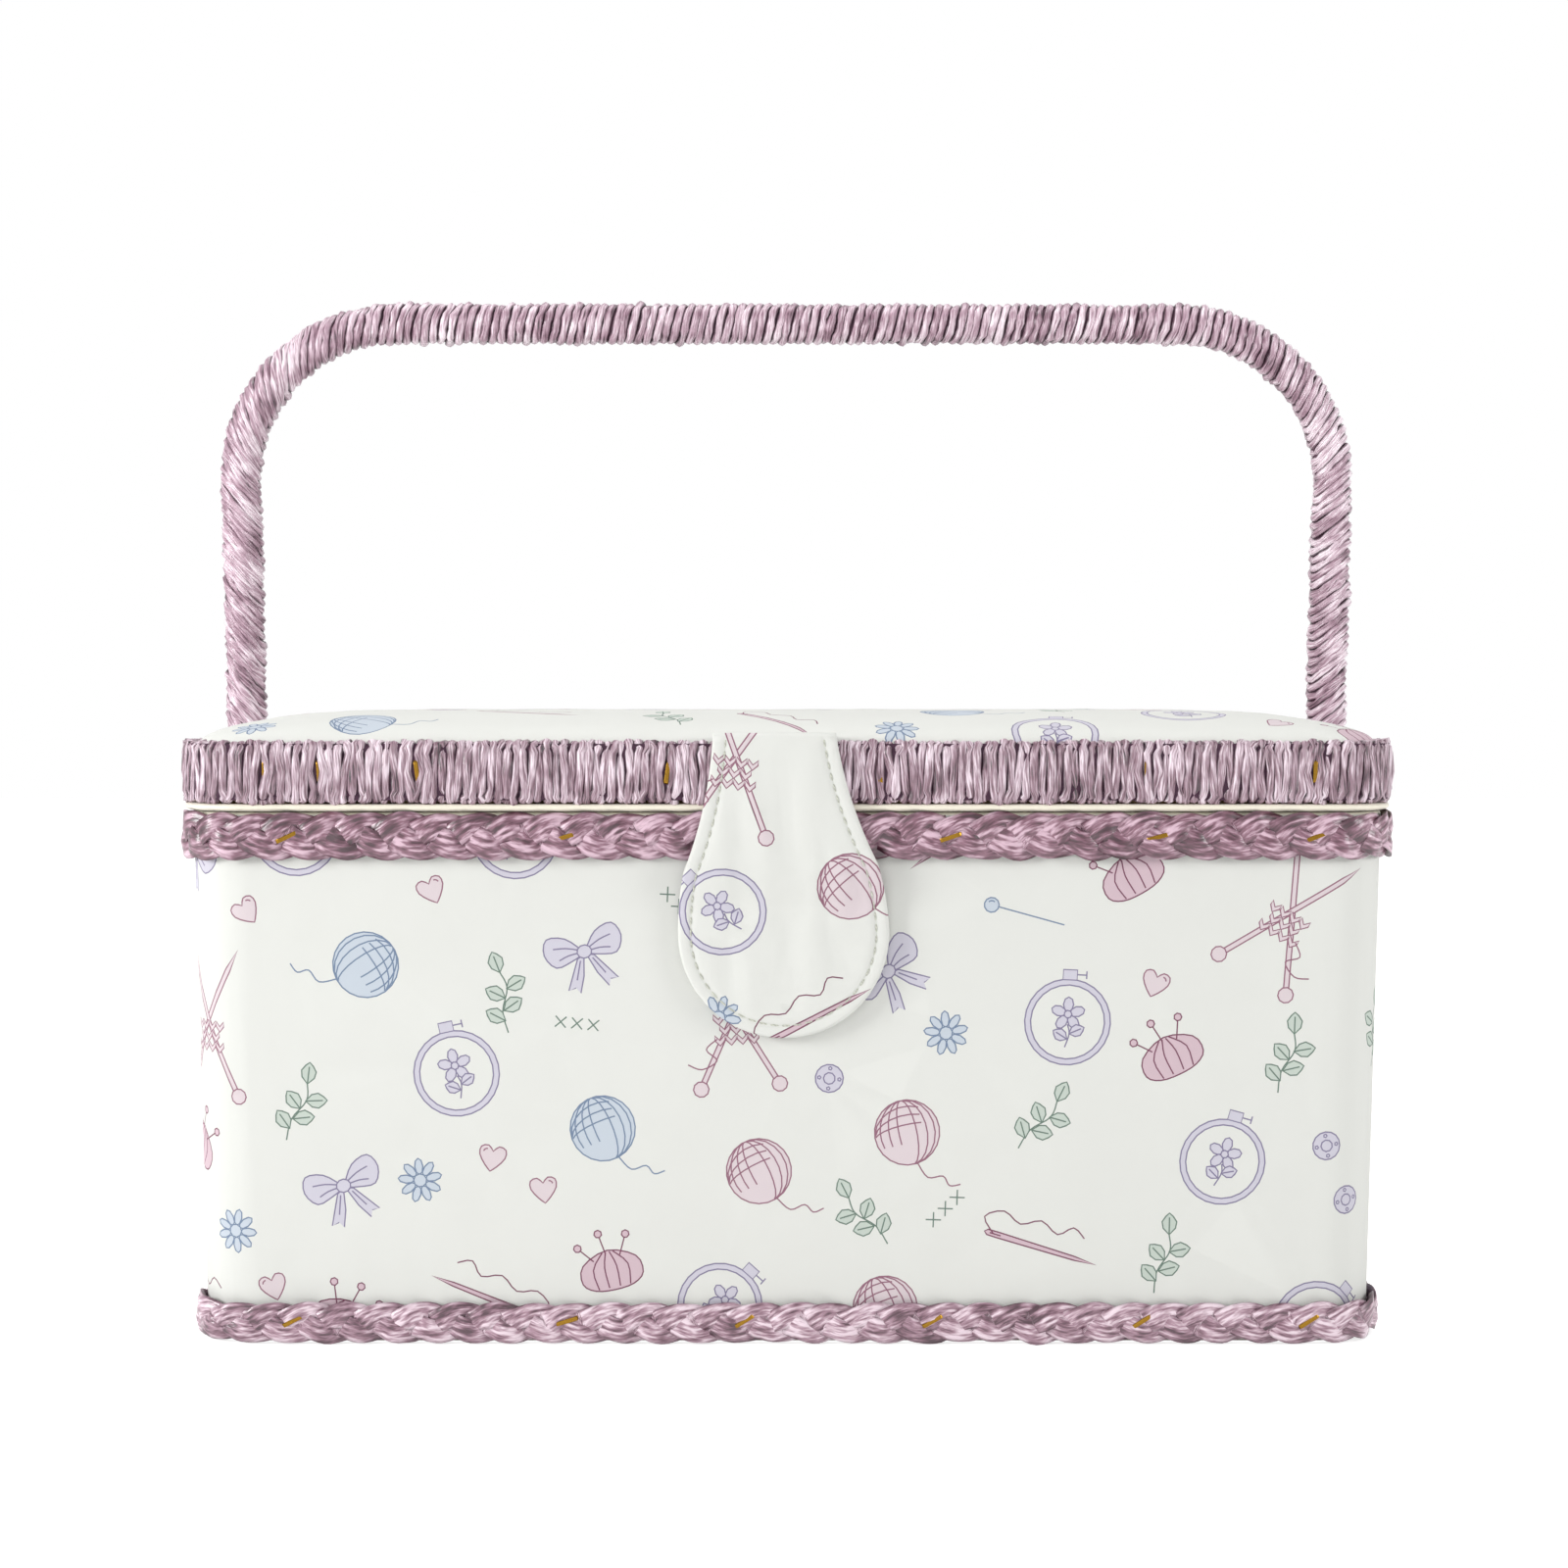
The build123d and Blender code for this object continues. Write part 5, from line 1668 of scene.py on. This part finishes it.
def staple_holder(band, depth):
    """A mesh of points where a band's staples lie, each with its way out and its crown's way."""
    node, _, front, height, reach_y, reach_x = STAPLE_BANDS[band]
    spots = [((share * FRONT_SPREAD, -reach_y), (0, -1)) for share in front]
    spots += [((share * FRONT_SPREAD, reach_y), (0, 1)) for share in BACK_STAPLES]
    spots += [((side * reach_x, share * SIDE_SPREAD), (side, 0))
              for share in SIDE_STAPLES for side in (-1, 1)]
    chance = random.Random(node)
    mesh = bpy.data.meshes.new("pins")
    places = [((x - out[0] * depth / MM) * MM, (y - out[1] * depth / MM) * MM, height * MM)
              for (x, y), out in spots]
    mesh.from_pydata(places, [], [])
    outward = mesh.attributes.new("outward", "FLOAT_VECTOR", "POINT")
    lay = mesh.attributes.new("lay", "FLOAT_VECTOR", "POINT")
    for i, (_, out) in enumerate(spots):
        tilt = math.radians(chance.uniform(-9, 9) + (90 if band == "rim" else 24))
        across = (-out[1], out[0])
        nod = chance.uniform(-0.12, 0.12)
        outward.data[i].vector = Vector((out[0], out[1], nod)).normalized()
        flat = math.cos(tilt)
        lay.data[i].vector = (across[0] * flat, across[1] * flat, math.sin(tilt))
    holder = bpy.data.objects.new("pins", mesh)
    bpy.context.scene.collection.objects.link(holder)
    return holder


def staple_tree():
    """Wire staples: a flat crown with rounded shoulders and two legs, one on each point."""
    tree, put, given, result = new_tree("Staples", [
        ("Crown", "Float", 0.0056), ("Leg", "Float", 0.003), ("Wire Width", "Float", 0.0013),
        ("Wire Thickness", "Float", 0.0006), ("Material", "Material", None),
    ])
    half = put("Math MULTIPLY", given["Crown"], 0.5)
    back = put("Math MULTIPLY", half, -1.0)
    down = put("Math MULTIPLY", given["Leg"], -1.0)
    corners = [put("CombineXYZ", {"X": x, "Z": z} if z else {"X": x})
               for x, z in ((back, down), (back, None), (half, None), (half, down))]
    wire = put("CurvePrimitiveQuadrilateral", {"Point 1": corners[0], "Point 2": corners[1],
        "Point 3": corners[2], "Point 4": corners[3]}, mode="POINTS")
    wire = put("SetSplineCyclic", {"Geometry": wire, "Cyclic": False})
    wire = put("FilletCurve", {"Curve": wire, "Radius": 0.7 * MM, "Count": 4}, mode="POLY")
    section = put("CurvePrimitiveQuadrilateral", {"Width": given["Wire Thickness"],
        "Height": given["Wire Width"]}, mode="RECTANGLE")
    section = put("FilletCurve", {"Curve": section, "Radius": 0.22 * MM, "Count": 2}, mode="POLY")
    flat = put("CombineXYZ", {"Y": 1.0})
    wire = put("SetCurveNormal", {"Curve": wire, "Normal": flat}, mode="FREE")
    wire = put("SetCurveTilt", {"Curve": wire, "Tilt": math.pi / 2})
    solid = put("CurveToMesh", {"Curve": wire, "Profile Curve": section, "Fill Caps": True})
    solid = put("SetShadeSmooth", {"Geometry": solid, "Shade Smooth": False})
    lay = put("InputNamedAttribute", {"Name": "lay"}, data_type="FLOAT_VECTOR")
    outward = put("InputNamedAttribute", {"Name": "outward"}, data_type="FLOAT_VECTOR")
    turned = put("AxesToRotation", {"Primary Axis": outward, "Secondary Axis": lay},
        primary_axis="Z", secondary_axis="X")
    row = put("InstanceOnPoints", {"Points": given["Path"], "Instance": solid, "Rotation": turned})
    finish_tree(put, row, given["Material"], result)
    return tree


class SEWCASE_OT_staples(bpy.types.Operator):
    """Drive the brass-coloured staples into the three bands"""

    bl_idname = "sewcase.staples"
    bl_label = "Staples"

    def execute(self, context):
        wire = metal_material("Brass-coloured steel wire", "#8A6826", 0.26, 700.0)
        tree = staple_tree()
        for band, depth in (("rim", 0.8 * MM), ("upper", 0.2 * MM), ("lower", 0.1 * MM)):
            node, body = STAPLE_BANDS[band][:2]
            mesh = grown_mesh(band + "_brass", staple_holder(band, depth), tree, {
                "Crown": 5.6 * MM, "Leg": 3.0 * MM, "Wire Width": 1.15 * MM,
                "Wire Thickness": 0.6 * MM, "Material": wire,
            })
            keep_mesh(band + "_brass", mesh, body, None, [node])
        return {"FINISHED"}


class SEWCASE_OT_rim(bpy.types.Operator):
    """Wind the raffia round the lid's rim"""

    bl_idname = "sewcase.rim"
    bl_label = "Rim Winding"

    def execute(self, context):
        sizes = context.scene.sewcase_cord
        low, high = LID_LOW, LID_HIGH
        thick = 4.4 * MM
        strand = sizes.rim_cord * 0.58
        flatness = 0.55
        half_x = (high[0] - low[0] - thick) / 2
        half_y = (high[1] - low[1] - thick) / 2
        path, length = ring_path(half_x, half_y, LID_CORNER - thick / 2, (low[2] + high[2]) / 2)
        pins = staple_holder("rim", 0.5 * MM)
        mesh = grown_mesh("rim_cord", path, winding_tree(), {
            "Turns": round(length / sizes.rim_cord), "Starts": 1, "Points per Turn": 18,
            "Side Axis": (0.0, 0.0, 1.0), "Half Out": thick / 2 - strand * flatness,
            "Half Side": (high[2] - low[2]) / 2 - strand * flatness, "Squareness": 0.45,
            "Cord Radius": strand, "Flatness": flatness, "Wander": sizes.rim_wander,
            "Slant": 1.1 * MM, "Twist": 1.6, "Seed": 3.0, "Cyclic": True, "Pins": pins,
            "Parting": 0.85 * MM, "Material": raffia_of("rim"),
        })
        data = pins.data
        bpy.data.objects.remove(pins)
        bpy.data.meshes.remove(data)
        keep_mesh("rim_cord", mesh, "lid", None, ["rim_wrapping"])
        return {"FINISHED"}


class SEWCASE_OT_plaits(bpy.types.Operator):
    """Plait the bands under the rim and round the foot"""

    bl_idname = "sewcase.plaits"
    bl_label = "Plaited Bands"

    def execute(self, context):
        period = context.scene.sewcase_cord.plait_period
        bands = (
            ("upper", UPPER_LOW, UPPER_HIGH, 1.5 * MM, 20 * MM, 1.0),
            ("lower", LOWER_LOW, LOWER_HIGH, 1.25 * MM, 17.4 * MM, 40.0),
        )
        for batch, low, high, inset, corner, seed in bands:
            half_x = (high[0] - low[0]) / 2 - inset
            half_y = (high[1] - low[1]) / 2 - inset
            tall = high[2] - low[2]
            height = (low[2] + high[2]) / 2 + (0.25 * MM if batch == "upper" else 0.0)
            path, length = ring_path(half_x, half_y, corner - inset, height)
            mesh = grown_mesh(batch + "_plait", path, plait_tree(), {
                "Periods": round(length / period), "Points per Period": 26,
                "Half Height": tall * 0.222, "Half Depth": inset * 0.52,
                "Strand Radius": tall * 0.275, "Flatness": 0.27, "Unevenness": 1.0 * MM, "Seed": seed,
                "Material": raffia_of(batch + " plait"),
            })
            keep_mesh(batch + "_plait", mesh, "case", None, [batch + "_braid"])
        return {"FINISHED"}


def handle_line():
    """Points along the middle of the handle, from the left cap over the top to the right cap."""
    foot, straight, tall = 105.5 * MM, 160 * MM, 279.4 * MM
    leg, top, corner = 165.4 * MM, 167.4 * MM, 47.5 * MM
    lean = (top - leg) / (tall - straight)
    half = [(leg, foot), (leg, 125 * MM), (leg, 145 * MM), (leg + 0.06 * MM, 155 * MM)]
    half += [(leg + lean * (z * MM - straight), z * MM) for z in (168, 180, 195, 210, 222)]
    reach = corner * math.tan((math.pi / 2 + math.atan(lean)) / 2)
    centre = (top - reach, tall - corner)
    for i in range(13):
        angle = -math.atan(lean) + (math.pi / 2 + math.atan(lean)) * i / 12
        half.append((centre[0] + corner * math.cos(angle), centre[1] + corner * math.sin(angle)))
    inner = [(x * MM, tall) for x in (100, 60, 20)]
    right = half + inner
    left = [(-x, z) for x, z in right]
    return [(x, 0.0, z) for x, z in left + right[::-1]]


class SEWCASE_OT_handle(bpy.types.Operator):
    """Wind the raffia round the handle"""

    bl_idname = "sewcase.handle"
    bl_label = "Handle Winding"

    def execute(self, context):
        sizes = context.scene.sewcase_cord
        points = handle_line()
        path = path_object(points, False)
        length = sum((Vector(a) - Vector(b)).length for a, b in zip(points, points[1:]))
        strand = sizes.handle_cord / 2
        flatness = 0.6
        starts = 3
        outside = (HANDLE_HIGH[1] - HANDLE_LOW[1]) / 2
        reach = outside - strand * flatness * 1.25
        mesh = grown_mesh("handle_cord", path, winding_tree(), {
            "Turns": starts * round(length / sizes.handle_cord / starts), "Starts": starts,
            "Points per Turn": 16, "Side Axis": (0.0, 1.0, 0.0),
            "Half Out": reach, "Half Side": reach, "Squareness": 1.0, "Cord Radius": strand,
            "Flatness": flatness, "Wander": sizes.handle_wander,
            "Slant": 0.8 * MM, "Tilt": 6.0 * MM, "Twist": 1.2, "Seed": 9.0, "Cyclic": False,
            "Parting": 0.0, "Material": raffia_of("handle"),
        })
        keep_mesh("handle_cord", mesh, "handle", None, ["handle_wrapping"])
        return {"FINISHED"}


FLOOR_GLOW = 0.68
FLOOR_DROP = -0.45 * MM
FLOOR_REACH = 28.0  # how many times wider than the case's foot the floor is
AIM = (0.0, 0.0, 0.12)


def watching_rays(put):
    """1 for rays that show the studio, 0 for rays that only carry its light."""
    rays = put("LightPath")
    seen = put("Math MAXIMUM", rays.outputs["Is Camera Ray"], rays.outputs["Is Glossy Ray"])
    return put("Math MAXIMUM", seen, rays.outputs["Is Transmission Ray"])


class SEWCASE_OT_stage(bpy.types.Operator):
    """Set the case on a white floor under soft light, with the camera in front of it"""

    bl_idname = "sewcase.stage"
    bl_label = "Stage"

    def execute(self, context):
        scene = context.scene
        levels = scene.sewcase_stage
        scene.view_settings.view_transform = "Standard"
        ring = outline_points(0.1515, 0.1165, 0.015, 0.005)
        count = len(ring)
        spots = [(p.x * reach, p.y * reach, FLOOR_DROP)
                 for reach in (1.0, FLOOR_REACH) for p in ring]
        sides = [(i, count + i, count + (i + 1) % count, (i + 1) % count) for i in range(count)]
        mesh = mesh_from("floor", spots, sides, False)
        floor = bpy.data.objects.new("floor", mesh)
        scene.collection.objects.link(floor)
        material, put, shader = new_material("Studio paper, matt white")
        lit = put("Math MULTIPLY", watching_rays(put), FLOOR_GLOW)
        behind = put("NewGeometry")
        from_above = put("Math SUBTRACT", 1.0, behind.outputs["Backfacing"])
        feed(shader, {"Base Color": linear("#F4F4F4"), "Roughness": 0.9,
            "Emission Color": linear("#FFFFFF"), "Emission Strength": lit, "Alpha": from_above})
        mesh.materials.append(material)
        world = bpy.data.worlds.new("studio")
        scene.world = world
        world.use_nodes = True
        world.node_tree.nodes.clear()
        put = partial(add, world.node_tree)
        level = put("MapRange", {"Value": watching_rays(put), "To Min": levels.around,
            "To Max": 1.0})
        sky = put("Background", {"Color": (1, 1, 1, 1), "Strength": level})
        put("OutputWorld", {"Surface": sky})
        lamps = (
            ("key", (-0.3, -1.25, 0.7), 0.8, levels.key),
            ("top", (0.0, 0.1, 1.45), 0.9, levels.top),
            ("left", (-1.1, -0.6, 0.42), 0.45, levels.left),
            ("right", (1.1, -0.6, 0.42), 0.45, levels.right),
        )
        for name, place, size, watts in lamps:
            lamp = bpy.data.lights.new(name, "AREA")
            lamp.shape = "DISK"
            lamp.size = size
            lamp.energy = watts
            holder = bpy.data.objects.new(name, lamp)
            holder.location = place
            aim = Vector(AIM) - Vector(place)
            holder.rotation_euler = aim.to_track_quat("-Z", "Y").to_euler()
            scene.collection.objects.link(holder)
        camera = bpy.data.cameras.new("camera")
        camera.sensor_width = 36
        camera.lens = 51.2
        holder = bpy.data.objects.new("camera", camera)
        holder.location = (-0.8 * MM, -0.6845, 0.163)
        holder.rotation_euler = (math.radians(90 - 2.0), 0, 0)
        scene.collection.objects.link(holder)
        scene.camera = holder
        return {"FINISHED"}


class SEWCASE_PT_panel(bpy.types.Panel):
    """Lists what the add-on makes"""

    bl_label = "Sewing case"
    bl_idname = "SEWCASE_PT_panel"
    bl_space_type = "VIEW_3D"
    bl_region_type = "UI"
    bl_category = "Sewing case"

    def draw(self, context):
        for key in GROUPS:
            group = getattr(context.scene, key)
            for name in group.__annotations__:
                self.layout.prop(group, name)
        for operator in OPERATORS:
            self.layout.operator(operator.bl_idname)


OPERATORS = (SEWCASE_OT_wall_cloth, SEWCASE_OT_lid_pad, SEWCASE_OT_tab, SEWCASE_OT_stitches,
             SEWCASE_OT_rim, SEWCASE_OT_plaits, SEWCASE_OT_staples, SEWCASE_OT_handle,
             SEWCASE_OT_lining, SEWCASE_OT_pincushion, SEWCASE_OT_hardware, SEWCASE_OT_stage)
GROUPS = {
    "sewcase_cord": SEWCASE_PG_cord, "sewcase_cloth": SEWCASE_PG_cloth,
    "sewcase_stitch": SEWCASE_PG_stitch, "sewcase_stage": SEWCASE_PG_stage,
}
CLASSES = (*GROUPS.values(), *OPERATORS, SEWCASE_PT_panel)


def register():
    for item in CLASSES:
        bpy.utils.register_class(item)
    for key, group in GROUPS.items():
        setattr(bpy.types.Scene, key, bpy.props.PointerProperty(type=group))


def unregister():
    for key in GROUPS:
        delattr(bpy.types.Scene, key)
    for item in reversed(CLASSES):
        bpy.utils.unregister_class(item)


def main():
    register()
    for operator in OPERATORS:
        group, name = operator.bl_idname.split(".")
        if getattr(getattr(bpy.ops, group), name)() != {"FINISHED"}:
            raise RuntimeError(name + " did not finish")


if __name__ == "__main__":
    main()
